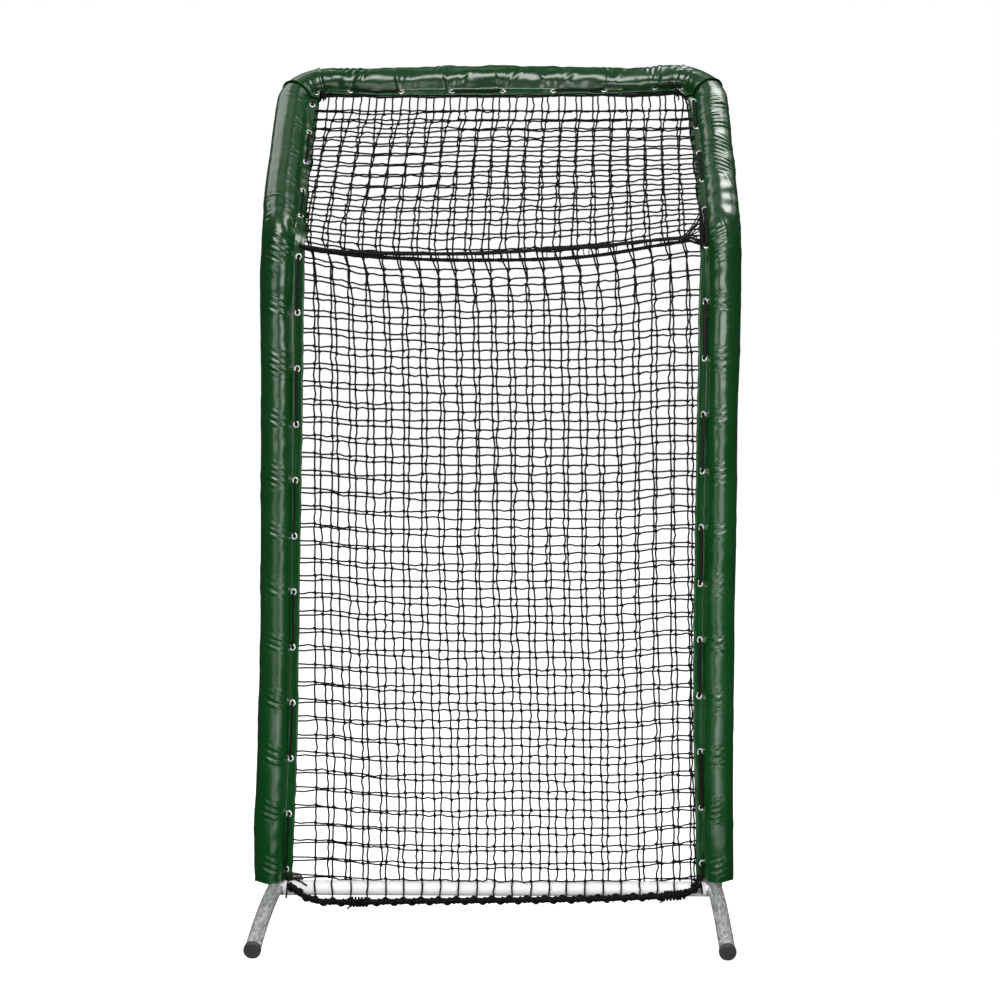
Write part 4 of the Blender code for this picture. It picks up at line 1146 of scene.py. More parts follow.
# %% Laces
LACE_TAIL = 0.012
LACE_EXIT = 0.006
RIM_REACH = 0.0065
LACE_SIDES = 12
BRAID_PITCH = 0.0055
LACE_WANDER = 0.8 * MM
LACE_SIZES = {"left": (0.0028, 0.0022), "top": (0.0030, 0.0021), "right": (0.0046, 0.0019)}


def lace_stops(spots, front_first):
    """(s, p, height, side) through each grommet in turn, lying on the flap between them."""
    side = 1 if front_first else -1
    rising = 1 if spots[1] > spots[0] else -1
    on_flap = FLAP_HALF + 2.9 * MM
    over_rim = FLAP_HALF + 4.2 * MM
    stops = [(spots[0] - rising * LACE_TAIL, GROMMET_LINE, -side * over_rim),
             (spots[0] - rising * LACE_EXIT, GROMMET_LINE, -side * over_rim)]
    for s, after in zip(spots, spots[1:]):
        room = corner_room(s, after)
        run = abs(after - s)
        stops.append((s, GROMMET_LINE, 0.0))
        stops.append((s + rising * RIM_REACH, GROMMET_LINE, side * (over_rim + room)))
        count = max(2, int(run / 0.03))
        for k in range(1, count):
            wiggle = LACE_WANDER * math.sin(2.4 * k + s * 9)
            stops.append((s + rising * run * k / count, GROMMET_LINE + wiggle, side * (on_flap + room)))
        stops.append((after - rising * RIM_REACH, GROMMET_LINE, side * (over_rim + room)))
        side = -side
    stops.append((spots[-1], GROMMET_LINE, 0.0))
    stops.append((spots[-1] + rising * LACE_EXIT, GROMMET_LINE, side * over_rim))
    stops.append((spots[-1] + rising * LACE_TAIL, GROMMET_LINE, side * over_rim))
    return stops


def lace_grid(line, across, half_width, half_thickness):
    """A flattened braid along a line. across is the direction of its width at each point."""
    tangent = tangents(line)
    across = across - tangent * (across * tangent).sum(axis=1, keepdims=True)
    across /= np.linalg.norm(across, axis=1, keepdims=True)
    flat = np.cross(tangent, across)
    run = run_along(line)
    angle = turns_of(LACE_SIDES)
    braid = 1 + 0.10 * np.cos(2 * np.pi * run[:, None] / BRAID_PITCH + 2 * angle[None, :])
    wide = half_width * np.cos(angle)[None, :] * braid
    thick = half_thickness * np.sin(angle)[None, :] * braid
    return line[:, None, :] + across[:, None, :] * wide[..., None] + flat[:, None, :] * thick[..., None]


def hole_filling(s):
    """The doubled lace that plugs a grommet, as a short barrel across the flap."""
    half = FLAP_HALF + corner_room(s) + 0.5 * MM
    _, _, front = flap_frame(s)
    centre = flap_point(s, GROMMET_LINE, 0.0)
    line = np.array([tuple(centre + front * h) for h in np.linspace(-half, half, 5)])
    return tube_grid(line, np.array([0.0030, 0.0042, 0.0044, 0.0042, 0.0030]), LACE_SIDES, 4, 0.010)


# %% Three laces through their grommets
for name, spots, front_first in (("left", left_spots, True), ("top", top_spots, False),
                                 ("right", right_spots, False)):
    stops = lace_stops(spots, front_first)
    points = smooth_line([flap_point(*stop) for stop in stops], 0.002)
    widths = smooth_line([flap_frame(stop[0])[1] for stop in stops], 0.01)
    places = np.linspace(0, 1, len(widths))
    wanted = np.linspace(0, 1, len(points))
    across = np.stack([np.interp(wanted, places, widths[:, k]) for k in range(3)], axis=1)
    loft = Loft()
    loft.add_grid(lace_grid(points, across, *LACE_SIZES[name]), wrap=True, caps=True)
    for spot in spots:
        loft.add_grid(hole_filling(spot), wrap=True, caps=True)
    lace = make_piece(f"{name}_lace_braid", loft, lace_fibre)
    place_on(SCREEN, lace, "black_cord", f"{name}_lace")

# %% [markdown]
# ## The net
# The net is knotted black twine with square meshes of 45 mm. It hangs in two layers that never
# quite line up, which gives the doubled lines of the photograph. Each layer is a lattice of
# knots, each knot has its own small error, and the twine between them is slack and a little
# crooked. One mesh could be repeated by an array, but a real net is never that even. How far
# apart the layers run at each height was measured on the photograph.

# %% The surface that a net layer hangs in
MAIN_FOOT_Z = 0.078
# Half the distance between the layers, at the foot and higher up. At the flaps they come together.
FOOT_DEPTH = 0.0265
LAYER_DEPTH = 0.005
EDGE_RUN = 0.05
BEND_SOFTNESS = 0.03
BELLY = 0.016
BELLY_HEIGHT = 0.43
MEAN_DROP = 0.045
SAG_AT = 1.72
SAG_RUN = 0.16


def flap_edge_x(side_sign, z):
    """Where the flap's inner edge is, at height z on one side of the screen."""
    up = np.clip(z - HOOP_START_Z, 0, BEND_Z - HOOP_START_Z)
    over = np.clip(z - BEND_Z, 0, None) / math.cos(TILT)
    t = np.minimum(up + over, S_CORNER + 0.03)
    table = FLAP_OUT["left" if side_sign < 0 else "right"]
    return side_sign * (POST_X - FLAP_EDGE + 0.001 + eased(table, t) * MM)


def net_point(x, z, side):
    """The place of a point of a net layer, from its x and height. side is -1 in front, 1 behind."""
    x = np.asarray(x, dtype=float)
    z = np.asarray(z, dtype=float)
    left, right = flap_edge_x(-1, z), flap_edge_x(1, z)
    edge = np.clip(np.minimum(x - left, right - x) / EDGE_RUN, 0, 1)
    up = np.clip((z - MAIN_FOOT_Z) / (BEND_Z - MAIN_FOOT_Z), 0, 1)
    depth = FOOT_DEPTH + (LAYER_DEPTH - FOOT_DEPTH) * np.sqrt(up)
    beyond = z - BEND_Z
    lean = 0.5 * (beyond + np.sqrt(beyond**2 + BEND_SOFTNESS**2))
    belly = BELLY * edge * np.clip(np.sin(np.pi * np.clip(beyond / BELLY_HEIGHT, 0, 1)), 0, 1)
    y = POST_Y + lean * math.tan(TILT) + side * (0.15 + 0.85 * edge) * depth + belly
    return np.stack([x + 0 * z, y, z + 0 * x], axis=-1)


def bend_sag(x, z):
    """How far rows near the bend follow the ropes that carry them."""
    share = x / NET_HALF_WIDTH
    drops = route_height(FRONT_ROPE_ROUTE, share) + route_height(REAR_ROPE_ROUTE, share)
    return -(drops / 2 - MEAN_DROP) * np.exp(-((z - SAG_AT) / SAG_RUN) ** 2)


gap = net_point(0.0, 1.0, 1)[1] - net_point(0.0, 1.0, -1)[1]
print("layers at half height:", round(1000 * float(gap), 1), "mm apart")

# %% Heights of the rows
# Of the overhead rows: how far up the plane the highest is, the step down to the next, how much
# wider each step gets, and the number of rows.
FRONT_OVERHEAD_ROWS = (0.526, 0.0392, 0.000398, 14)
REAR_OVERHEAD_ROWS = (0.526, 0.0435, 0.000224, 13)
MAIN_TOP_Z = 1.695
MAIN_ROWS = 36
REAR_DROP = 0.012


def row_heights(side):
    """Heights of a layer's rows on its middle line, from the top."""
    first, step, wider, count = FRONT_OVERHEAD_ROWS if side < 0 else REAR_OVERHEAD_ROWS
    over = [first - step * j - wider * j * j for j in range(count)]
    heights = [BEND_Z + v * math.cos(TILT) for v in over]
    drop = 0.0 if side < 0 else REAR_DROP
    return np.array(heights + [MAIN_TOP_Z - drop - MESH * j for j in range(MAIN_ROWS)])


print("rows of the front layer:", len(row_heights(-1)))

# %% Lattice of knots
COLUMNS = 22
KNOT_DRIFT = 0.0026
KNOT_ERROR = 0.0009
# How far the rear layer's columns stand to the right of the front ones, in millimetres, by height.
REAR_STEP = [(0.10, 24), (0.55, 22), (0.93, 12), (1.35, 14), (1.60, 8), (1.68, 0), (1.74, -16),
             (1.93, -4), (2.00, 0), (2.08, 8), (2.15, 20), (2.30, 21)]


def knot_lattice(seed, side):
    """x and z of every knot of one layer, and its rows' ends at both flaps."""
    dice = np.random.default_rng(seed)
    heights = row_heights(side)
    i, z = np.meshgrid(np.arange(-1, COLUMNS + 1), heights, indexing="ij")
    over = smooth_share(z, 1.69, 0.06)
    down = np.clip((MAIN_TOP_Z - z) / 1.6, 0, 1)
    # Columns spread a little towards the foot, and step to the left above the bend ropes.
    main_x = FIRST_COLUMN + MESH * i + (0.0034 + 0.0005 * i) * down
    over_x = -0.4730 + (MESH + 0.0003) * i
    x = main_x + (over_x - main_x) * over
    if side > 0:
        places, steps = zip(*REAR_STEP)
        x = x + np.interp(z, places, steps) * MM * (1 - 0.30 * np.clip(x / 0.45, 0, 1) * down)
    left, right = flap_edge_x(-1, z), flap_edge_x(1, z)
    x = np.clip(x, left + 0.004, right - 0.004)
    x[0], x[-1] = left[0] - 0.006, right[-1] + 0.006
    # The laces hold the rows up at both flaps, and the rear layer's rows hang lower between them.
    side_run = smooth_share(x, -0.46, 0.14)
    main = 1 - smooth_share(z, 1.70, 0.10)
    z = z + 0.011 * (1 - side_run) * main + bend_sag(x, z)
    z = z + 0.010 * smooth_share(x, 0.30, 0.18) * main * (0.5 + 0.5 * down)
    if side > 0:
        z = z - 0.011 * (smooth_share(x, -0.36, 0.30) - smooth_share(x, 0.28, 0.20)) * main
        z = z - 0.012 * side_run * smooth_share(z, 1.76, 0.20) * (1 - smooth_share(x, -0.30, 0.30))
    lean_x, lean_z = waves(seed, 5, 0.35, 1.2), waves(seed + 7, 5, 0.35, 1.2)
    inside = np.clip(np.minimum(x - left, right - x) / 0.08, 0, 1)
    x = x + inside * (KNOT_DRIFT * lean_x(x, z) + dice.normal(0, KNOT_ERROR, x.shape))
    z = z + inside * (KNOT_DRIFT * lean_z(x, z) + dice.normal(0, KNOT_ERROR, z.shape))
    return x, z


print("columns and rows of a layer:", knot_lattice(21, -1)[0].shape)

# %% Twine and knots
TWINE_BOW = 0.0013
TWINE_CROOK = 0.0008
TIE_WIDE = 0.0042
TIE_HIGH = 0.0049
TIE_DEEP = 0.0037
TIE_SIDES = 8
TIE_RINGS = ((-1, 0.3), (-0.6, 0.85), (0, 1.0), (0.6, 0.85), (1, 0.3))


def between_knots(a, b, dice):
    """Two points between neighbouring knots, a little off the straight line."""
    bow = dice.normal(0, TWINE_BOW, 3) * (1.0, 0.5, 1.0)
    crook = dice.normal(0, TWINE_CROOK, 3) * (1.0, 0.5, 1.0)
    return [a + (b - a) / 3 + bow + crook, a + (b - a) * 2 / 3 + bow - crook]


def chain(knots, dice):
    points = [knots[0]]
    for a, b in zip(knots, knots[1:]):
        points += between_knots(a, b, dice) + [b]
    return np.array(points)


def net_knots(places, dice):
    """A small uneven lump where two twines are tied."""
    angle = turns_of(TIE_SIDES)
    for place in places:
        turn = dice.uniform(0.3, 1.2)
        rings = []
        for height, width in TIE_RINGS:
            ring_x = TIE_WIDE * width * np.cos(angle)
            ring_z = TIE_HIGH * height + 0.0010 * np.sin(2 * angle)
            rings.append(np.stack([ring_x * math.cos(turn) - ring_z * math.sin(turn),
                                   TIE_DEEP * width * np.sin(angle),
                                   ring_x * math.sin(turn) + ring_z * math.cos(turn)], axis=-1))
        yield place + np.array(rings)


# %% Both layers, and the loops that tie them to the bend ropes
TWINE_R = 0.0022    # Real twine is thinner. The photograph's net is as dark as this one.
TWINE_SIDES = 6
LOOP_R = 0.0013
OVERHEAD_TOP = 0.6020


def net_layer(name, side, seed, nodes):
    """One layer: its columns, its rows, its knots, and on the front one the loops at the bend."""
    dice = np.random.default_rng(seed + 50)
    x, z = knot_lattice(seed, side)
    knots = net_point(x, z, side)
    top = net_point(x[:, :1], BEND_Z + OVERHEAD_TOP * math.cos(TILT) + 0 * z[:, :1], side)
    rope_z = route_height(FOOT_ROPE_ROUTE, x[:, -1:])
    if side < 0:
        foot = np.stack([x[:, -1:], FOOT_ROPE_Y + 0.004 + 0 * rope_z, rope_z + 0.003], axis=-1)
    else:
        foot = net_point(x[:, -1:], z[:, -1:] - 0.004, side)
    loft = Loft()
    for i in range(1, len(x) - 1):
        line = chain(np.concatenate([top[i], knots[i], foot[i]]), dice)
        loft.add_tube(line, TWINE_R, TWINE_SIDES)
    for j in range(x.shape[1]):
        loft.add_tube(chain(knots[:, j], dice), TWINE_R, TWINE_SIDES)
    for grid in net_knots(knots[1:-1].reshape(-1, 3), dice):
        loft.add_grid(grid, wrap=True, caps=True)
    if side < 0:
        for k in range(COLUMNS * 2):
            at = -0.46 + MESH / 2 * k + dice.normal(0, 0.003)
            front_z = BEND_Z - route_height(FRONT_ROPE_ROUTE, at / NET_HALF_WIDTH)
            rear_z = BEND_Z - route_height(REAR_ROPE_ROUTE, at / NET_HALF_WIDTH)
            loop = [(at, POST_Y - 0.019, front_z + 0.002),
                    (at + 0.001, POST_Y - 0.016, (front_z + rear_z) / 2),
                    (at + dice.normal(0, 0.002), POST_Y - 0.002, rear_z - 0.004)]
            loft.add_tube(smooth_line(loop, 0.004), LOOP_R, TWINE_SIDES)
    net = make_piece(name, loft, twine_fibre)
    place_on(SCREEN, net, "black_cord", *nodes)


net_layer("front_net_layer", -1, 21, ["front_main_net", "front_overhead_net"])
net_layer("rear_net_layer", 1, 22, ["rear_main_net", "rear_overhead_net"])

# %% [markdown]
# ## Knots and lashings
# Short ends of the ropes are tied off at the corners, and a lashing takes the pull at the right
# bend. A true knot could be traced strand by strand, but from here it is a dark lump, and a few
# turns of cord wound over each other give that.

# %% Knots
KNOT_R = 0.0095


def wound_knot(node, centre, cord_r, tails):
    """Cord wound round a small ball in changing directions, with loose tails."""
    centre = np.array(tuple(centre))
    loft = Loft()
    for k, tip in enumerate(((1, 0.2, 0.3), (0.2, 1, 0.4), (-0.5, 0.3, 1))):
        axis = Vector(tip).normalized()
        u = axis.orthogonal().normalized()
        v = axis.cross(u)
        turns = np.linspace(0, 4 * math.pi, 60)
        size = (KNOT_R - cord_r) * (1 - 0.08 * k)
        spread = (turns / (4 * math.pi) - 0.5) * 1.5 * cord_r
        circle = size * (np.outer(np.cos(turns), u) + np.outer(np.sin(turns), v))
        loft.add_tube(centre + circle + np.outer(spread, axis), cord_r, CORD_SIDES)
    for tail in tails:
        line = smooth_line([centre] + [centre + np.array(step) for step in tail], CORD_STEP)
        loft.add_tube(line, cord_r * 0.9, CORD_SIDES, STRANDS, 0.012)
    knot = make_piece(f"{node}_turns", loft, lace_fibre)
    place_on(SCREEN, knot, "black_cord", node)


# %% Knots at the foot and at the corners
# A foot knot sits on the end of the foot rope. The places of the tails are steps from its centre.
KNOT_LIFT = 0.009 + FOOT_ROPE_R + 0.0003
CORNER_KNOT_FRONT = 0.0165


def foot_knot(node, rope_end, lace_start, cord_r, ends):
    """The knot at one end of the foot rope. One of its tails runs up to the lace."""
    centre = (rope_end[0], FOOT_ROPE_Y, rope_end[1] + KNOT_LIFT)
    lace_end = np.array(tuple(flap_point(lace_start, GROMMET_LINE, 0.006))) - centre
    to_lace = [lace_end / 2 + (0, -0.008, 0), lace_end]
    wound_knot(node, centre, cord_r, [ends[0], to_lace, ends[1]])


foot_knot("left_foot_knot", FOOT_ROPE_ROUTE[0], left_spots[0], 0.0026,
          [[(-0.003, -0.004, -0.022), (-0.006, -0.004, -0.052)],
           [(0.014, -0.004, -0.002), (0.030, 0.000, -0.010), (0.046, 0.006, -0.022)]])
foot_knot("right_foot_knot", FOOT_ROPE_ROUTE[-1], right_spots[0], 0.0028,
          [[(0.003, -0.004, -0.020), (0.006, -0.004, -0.042)],
           [(-0.010, -0.004, -0.010), (-0.024, 0.000, -0.020)]])
corner_s = S_CORNER + CORNER_R * math.pi / 4
for name, s in (("left", corner_s), ("right", HOOP_LENGTH - corner_s)):
    point, _, inward, front = hoop_place(s)
    wound_knot(f"{name}_corner_knot", point + inward * FLAP_EDGE + front * CORNER_KNOT_FRONT, 0.0024,
               [[(0.004, -0.004, -0.014), (0.003, -0.006, -0.024)]])

# %% Border cord of the overhead net
BORDER_R = 0.003
BORDER_REACH = 0.48            # How far the border runs down each arm from the corner.
BORDER_SWAY = 0.0018
END_SIDES = 10
loft = Loft()
sway = waves(77, 6, 0.03, 0.16)
border = []
for s in np.arange(S_CORNER - BORDER_REACH, HOOP_LENGTH - S_CORNER + BORDER_REACH, 0.010):
    border.append(flap_point(s, FLAP_EDGE + 0.0025 + BORDER_SWAY * float(sway(s, 0.0)), -0.003))
loft.add_tube(smooth_line(border, 0.004), BORDER_R, END_SIDES, STRANDS, 0.020)
print("border cord:", len(border), "stops")

# %% Fan of cords from the right end of the bend rope to the flap
LASH_CORDS = 8
LASH_CORD_R = 0.0018
FAN_X = 0.474
FAN_SPREAD = 0.020
GOLDEN_SHARE = 0.618    # Multiples of it spread the starts without a pattern.
for k in range(LASH_CORDS):
    x = FAN_X + FAN_SPREAD * (GOLDEN_SHARE * k % 1)
    height = BEND_Z - route_height(FRONT_ROPE_ROUTE, x / NET_HALF_WIDTH)
    start = np.array([x, POST_Y - 0.016, height])
    share = 0.10 + 0.74 * k / (LASH_CORDS - 1)
    spot = right_spots[11] + (right_spots[12] - right_spots[11]) * share
    end = np.array(tuple(flap_point(spot, FLAP_EDGE - 0.003, 0.008)))
    bulge = (start + end) / 2 + np.array([0.002, -0.003, 0.003 * math.sin(5 * k)])
    line = smooth_line([start, bulge, end], CORD_STEP)
    loft.add_tube(line, LASH_CORD_R, CORD_SIDES, STRANDS, 0.014)
print("lashing cords:", LASH_CORDS)

# %% Ends of the bend ropes, tied through the nearest grommets
ROPE_END_R = 0.0034
for sign, spots in ((-1, left_spots), (1, right_spots)):
    for side, route in ((-1, FRONT_ROPE_ROUTE), (1, REAR_ROPE_ROUTE)):
        drop = route[0 if sign < 0 else -1][1]
        start = np.array([sign * NET_HALF_WIDTH, POST_Y + side * BEND_ROPE_Y, BEND_Z - drop])
        lift = FLAP_HALF + 0.005
        end = np.array(tuple(flap_point(spots[11], GROMMET_LINE, -side * lift)))
        if sign < 0 and side < 0:
            end = np.array(tuple(flap_point(BEND_Z - drop - HOOP_START_Z, FLAP_EDGE - 0.010, 0.004)))
        middle = (start + end) / 2 + np.array([0, side * 0.004, 0])
        line = smooth_line([start - np.array([sign * 0.004, 0, 0]), start, middle, end], CORD_STEP)
        loft.add_tube(line, ROPE_END_R, END_SIDES, STRANDS, 0.018)
rope_ends = make_piece("bend_rope_ends", loft, twine_fibre)
place_on(SCREEN, rope_ends, "black_cord")

# %% Right bend lashing
LASH_INSET = 0.012
LASH_PITCH = 0.0040
LASH_TURN_R = 0.0016
lash_stops = np.linspace(right_spots[12] - LASH_INSET, right_spots[11] + LASH_INSET, 9)
lash_across = GROMMET_LINE + 0.8 * (FLAP_EDGE - GROMMET_LINE)
lash_line = smooth_line([flap_point(s, lash_across, 0.0085) for s in lash_stops], 0.002)
fine_line = smooth_line(lash_line, 0.0006)
lash_share = np.linspace(0, 1, len(fine_line))
thick = 0.0020 + 0.0040 * smooth_share(lash_share, 0.15, 0.60) * (1 - smooth_share(lash_share, 0.90, 0.10))
loft = Loft()
loft.add_tube(wound_round(fine_line, thick, LASH_PITCH), LASH_TURN_R, TWINE_SIDES)
loft.add_tube(fine_line, thick - 0.0008, CORD_SIDES)
lashing = make_piece("right_bend_lashing_turns", loft, lace_fibre)
place_on(SCREEN, lashing, "black_cord", "right_bend_lashing")

# %% [markdown]
# ## Legs, caps and crossbar
# Each leg is one bowed tube with a rubber cap over each end. The solids have the right shape but
# few sides, and smooth shading wouldn't round their outline, so the pieces in plain view are
# turned again with finer ones.

# %% The line of a leg
LEG_REACH = 0.375
LEG_CROWN_R = 0.300
LEG_CROWN_TILT = math.radians(3.5)
LEG_BOW_R = 1.5
LEG_END_RUN = 0.045
LEG_BOW_RUN = LEG_REACH - LEG_END_RUN - LEG_CROWN_R * math.sin(LEG_CROWN_TILT)
LEG_END_SLOPE = math.asin(math.sin(LEG_CROWN_TILT) + LEG_BOW_RUN / LEG_BOW_R)
CAP_R = 0.0218


def half_leg():
    """(run, height) from the crown to one end of the leg."""
    points = []
    for a in np.linspace(0, LEG_CROWN_TILT, 6)[:-1]:
        points.append((LEG_CROWN_R * math.sin(a), CROWN_Z - LEG_CROWN_R * (1 - math.cos(a))))
    crown_run = LEG_CROWN_R * math.sin(LEG_CROWN_TILT)
    crown_z = CROWN_Z - LEG_CROWN_R * (1 - math.cos(LEG_CROWN_TILT))
    for a in np.linspace(LEG_CROWN_TILT, LEG_END_SLOPE, 20):
        run = crown_run + LEG_BOW_R * (math.sin(a) - math.sin(LEG_CROWN_TILT))
        points.append((run, crown_z - LEG_BOW_R * (math.cos(LEG_CROWN_TILT) - math.cos(a))))
    run, z = points[-1]
    points.append((run + LEG_END_RUN, z - LEG_END_RUN * math.tan(LEG_END_SLOPE)))
    return points


leg_half = half_leg()
print("leg end height:", round(leg_half[-1][1], 4))


# %% Leg tubes
BASE_TUBE_SIDES = 48
CUT_EDGE = math.radians(40)
LEG_WALL = 1.8 * MM
BAR_WALL = 1.5 * MM


def steel_tube(node, line, wall, finish):
    """A tube of the base with its bore, turned round a line."""
    outer = tube_grid(line, TUBE_R, BASE_TUBE_SIDES)
    inner = tube_grid(line, TUBE_R - wall, BASE_TUBE_SIDES)
    loft = Loft()
    loft.add_grid(np.concatenate([outer, inner[::-1], outer[:1]]), wrap=True)
    tube = make_piece(f"{node}_steel", loft, finish)
    tube.data.set_sharp_from_angle(angle=CUT_EDGE)
    place_on(BASE, tube, "galvanised_steel", node)


for side, x in (("left", -POST_X), ("right", POST_X)):
    front_half = [(x, POST_Y - run, z) for run, z in reversed(leg_half)]
    rear_half = [(x, POST_Y + run, z) for run, z in leg_half[1:]]
    steel_tube(f"{side}_leg_tube", np.array(front_half + rear_half), LEG_WALL, leg_steel_lines_and_painted_reflection)

# %% End caps
CAP_SIDES = 64
CAP_SKIRT = 0.009
RIB_PITCH = 0.0050
RIB_DEPTH = 1.6 * MM


def end_cap(name, x, way):
    """A moulded plug over one leg end, with a short skirt and slanted ribs on its end face."""
    run, z = leg_half[-1]
    tip = np.array([x, POST_Y + way * run, z])
    out = np.array([0.0, way * math.cos(LEG_END_SLOPE), -math.sin(LEG_END_SLOPE)])
    up = np.array([0.0, way * math.sin(LEG_END_SLOPE), math.cos(LEG_END_SLOPE)])
    across = np.array([1.0, 0.0, 0.0])
    profile = [(-CAP_SKIRT, TUBE_R + 0.0002), (-CAP_SKIRT, CAP_R - 0.0014),
               (0.0005 - CAP_SKIRT, CAP_R - 0.0009), (-0.003, CAP_R - 0.0007), (0.0, CAP_R - 0.0008),
               (0.0024, CAP_R - 0.0014), (0.0038, CAP_R - 0.0028)]
    profile += [(0.0040, r) for r in np.linspace(CAP_R - 0.0040, 0.0004, 20)]
    angle = turns_of(CAP_SIDES)
    rings = []
    for reach, radius in profile:
        face_x, face_up = radius * np.cos(angle), radius * np.sin(angle)
        rib = np.clip(np.sin(2 * math.pi * (face_x - way * face_up) / math.sqrt(2) / RIB_PITCH) * 3, -1, 1)
        depth = reach + np.where(radius < CAP_R - 0.0038, RIB_DEPTH / 2 * (rib - 1), 0.0)
        ring = tip + np.outer(depth, out) + np.outer(face_x, across) + np.outer(face_up, up)
        ring[:, 2] = np.maximum(ring[:, 2], 0.0)
        rings.append(ring)
    loft = Loft()
    loft.add_grid(np.array(rings), wrap=True, caps=True)
    cap = make_piece(f"{name}_moulding", loft, rubber)
    cap.data.set_sharp_from_angle(angle=math.radians(50))
    place_on(BASE, cap, "black_rubber", name)


for side, x in (("left", -POST_X), ("right", POST_X)):
    end_cap(f"{side}_front_foot_cap", x, -1)
    end_cap(f"{side}_rear_foot_cap", x, 1)

# %% Crossbar tube
BAR_HALF = 0.5437
bar_line = np.array([(x, POST_Y, CROWN_Z) for x in np.linspace(-BAR_HALF, BAR_HALF, 40)])
steel_tube("lower_crossbar_tube", bar_line, BAR_WALL, bar_steel_painted_highlight)

# %% [markdown]
# ## The solids that stay
# Tubes, spigots, rivets, bolts and nuts are hidden or small and already have their shape. They
# could be modelled again, but nothing more of them would show, so they only get a finish.

# %% Finishes of the kept solids
KEPT = {"spigot": leg_steel_lines_and_painted_reflection, "bolt": bolt_metal, "nut": bolt_metal, "rivet": bolt_metal,
        "post_tube": post_steel, "arm_tube": post_steel, "corner_tube": post_steel, "top_tube": bar_steel_painted_highlight}
kept = 0
for name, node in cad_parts.items():
    for ending, finish in KEPT.items():
        if name.endswith(ending):
            for slot in node.material_slots:
                slot.material = finish
            kept += 1
print("kept solids:", kept)

# %% [markdown]
# ## Studio
# The photograph is a cut-out on white, so a pale floor and a white sky stand behind the screen.
# Glossy vinyl shows what it mirrors. Upright lamps in front give the posts their streaks, lamps
# overhead light the leaning arms, and two wide ones that the vinyl doesn't mirror lift the
# shadows. What isn't seen directly gets a dimmer sky that darkens below, as in a real room. A
# picture of a room could light the screen instead, but its windows would fix the streaks' places.

# %% Floor
FLOOR_HALF = 40.0
FLOOR_DROP = 0.5 * MM
corners = [(x * FLOOR_HALF, y * FLOOR_HALF, 0) for x, y in ((-1, -1), (1, -1), (1, 1), (-1, 1))]
floor_mesh = bpy.data.meshes.new("studio_floor")
floor_mesh.from_pydata(corners, [], [(0, 1, 2, 3)])
floor = bpy.data.objects.new("studio_floor", floor_mesh)
bpy.context.collection.objects.link(floor)
floor.location.z = -FLOOR_DROP
paper, _, _ = new_finish("white_backdrop_paper", {
    "Base Color": colour("C8C8C8"), "Roughness": 0.9, "Specular IOR Level": 0.0,
    "Emission Color": colour("FFFFFF"), "Emission Strength": 0.80})
floor.data.materials.append(paper)
floor.visible_glossy = False
floor.visible_diffuse = False
print("floor:", 2 * FLOOR_HALF, "m wide")

# %% Sky: white where it is seen, dim in the vinyl's gloss, and darker below for everything else
SKY_SEEN = 1.0
SKY_ABOVE = 0.70
SKY_BELOW = 0.12
SKY_MIRRORED = 0.035
SKY_TURN = 0.35
world = bpy.data.worlds.new("white_room")
bpy.context.scene.world = world
world.use_nodes = True
sky = world.node_tree.nodes["Background"]
sky.inputs["Color"].default_value = colour("FFFFFF")
ray = add_node(world, "ShaderNodeLightPath")
way = add_node(world, "ShaderNodeTexCoord")
parts = add_node(world, "ShaderNodeSeparateXYZ", {}, {0: way.outputs["Generated"]})
lighting = add_node(world, "ShaderNodeMapRange", {
    "From Min": -SKY_TURN, "From Max": SKY_TURN, "To Min": SKY_BELOW, "To Max": SKY_ABOVE},
    {"Value": parts.outputs["Z"]})
mirrored_sky = add_node(world, "ShaderNodeMix", {3: SKY_MIRRORED}, {
    0: ray.outputs["Is Glossy Ray"], 2: lighting.outputs["Result"]})
seen_sky = add_node(world, "ShaderNodeMix", {3: SKY_SEEN}, {
    0: ray.outputs["Is Camera Ray"], 2: mirrored_sky.outputs[0]})
plug(world, sky, {"Strength": seen_sky.outputs[0]})
print("sky:", SKY_BELOW, "below to", SKY_ABOVE, "above")

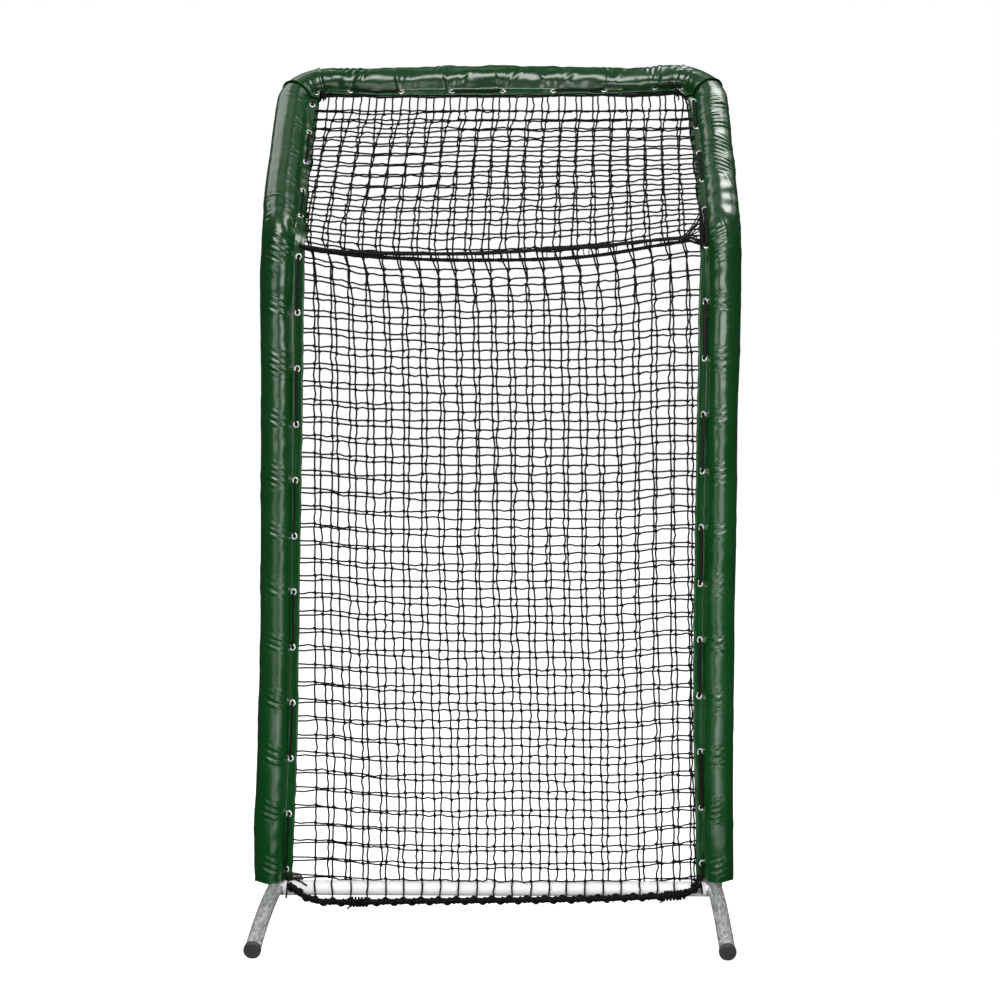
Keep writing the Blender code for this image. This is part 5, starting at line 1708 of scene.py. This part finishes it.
# %% Lamps
# Each has a name, place, target, width, height and radiance, and says what it is for: a streak
# shows only in gloss, a fill doesn't show in it, and a box does both.
LAMPS = (
    ("right_strip_high", (0.52, -0.87, 1.62), (0.0, -0.1, 1.62), 0.62, 0.36, 5.4, "streak"),
    ("right_strip_middle", (0.50, -1.00, 1.17), (0.0, -0.1, 1.17), 0.62, 0.56, 2.2, "streak"),
    ("right_strip_low", (0.42, -1.10, 0.48), (0.0, -0.1, 0.48), 0.62, 0.82, 1.5, "streak"),
    ("left_strip_high", (-0.50, -1.12, 1.54), (-0.1, -0.1, 1.54), 0.66, 0.58, 2.1, "streak"),
    ("left_strip_low", (-0.50, -1.15, 0.74), (-0.1, -0.1, 0.74), 0.66, 0.98, 0.70, "streak"),
    ("high_box_front", (0.0, -1.60, 3.15), (0.0, 0.4, 2.25), 1.7, 0.90, 8.5, "streak"),
    ("floor_card", (0.60, -1.9, 0.02), (0.60, -1.9, 1.0), 1.9, 2.4, 1.5, "box"),
    ("left_overhead_box", (-1.6, 0.68, 4.1), (-1.5, 0.63, 2.1), 2.3, 1.0, 1.8, "box"),
    ("left_overhead_edge", (-0.35, 0.68, 4.1), (-0.35, 0.63, 2.1), 0.80, 1.0, 0.4, "streak"),
    ("left_rear_box", (-2.7, 1.8, 4.1), (-2.2, 1.5, 2.1), 1.4, 1.6, 1.5, "box"),
    ("right_overhead_box", (1.14, 0.66, 4.1), (1.10, 0.61, 2.1), 0.90, 0.92, 2.2, "box"),
    ("right_arm_strip", (0.90, 0.34, 2.95), (0.75, 0.25, 2.05), 0.50, 0.60, 6.0, "streak"),
    ("right_rear_box", (2.3, 1.5, 4.1), (2.0, 1.3, 2.1), 1.2, 1.4, 1.0, "box"),
    ("rear_glint", (0.0, 2.6, 2.2), (0.0, -0.3, 0.05), 0.9, 0.8, 0.8, "streak"),
    ("top_fill", (0.0, 0.2, 4.0), (0.0, 0.1, 2.0), 2.6, 2.2, 2.6, "fill"),
    ("low_fill", (0.0, -2.0, 0.80), (0.0, -0.1, 0.10), 2.2, 0.8, 5.2, "fill"))
for name, place, target, width, height, radiance, use in LAMPS:
    lamp = bpy.data.lights.new(name, "AREA")
    lamp.shape = "RECTANGLE"
    lamp.size = width
    lamp.size_y = height
    lamp.energy = radiance * math.pi * width * height
    box = bpy.data.objects.new(name, lamp)
    box.location = place
    box.rotation_euler = (Vector(target) - Vector(place)).to_track_quat("-Z", "Y").to_euler()
    box.visible_camera = False
    box.visible_diffuse = use != "streak"
    box.visible_glossy = use != "fill"
    bpy.context.collection.objects.link(box)
bpy.context.scene.view_settings.view_transform = "Standard"
print("lamps:", len(LAMPS))
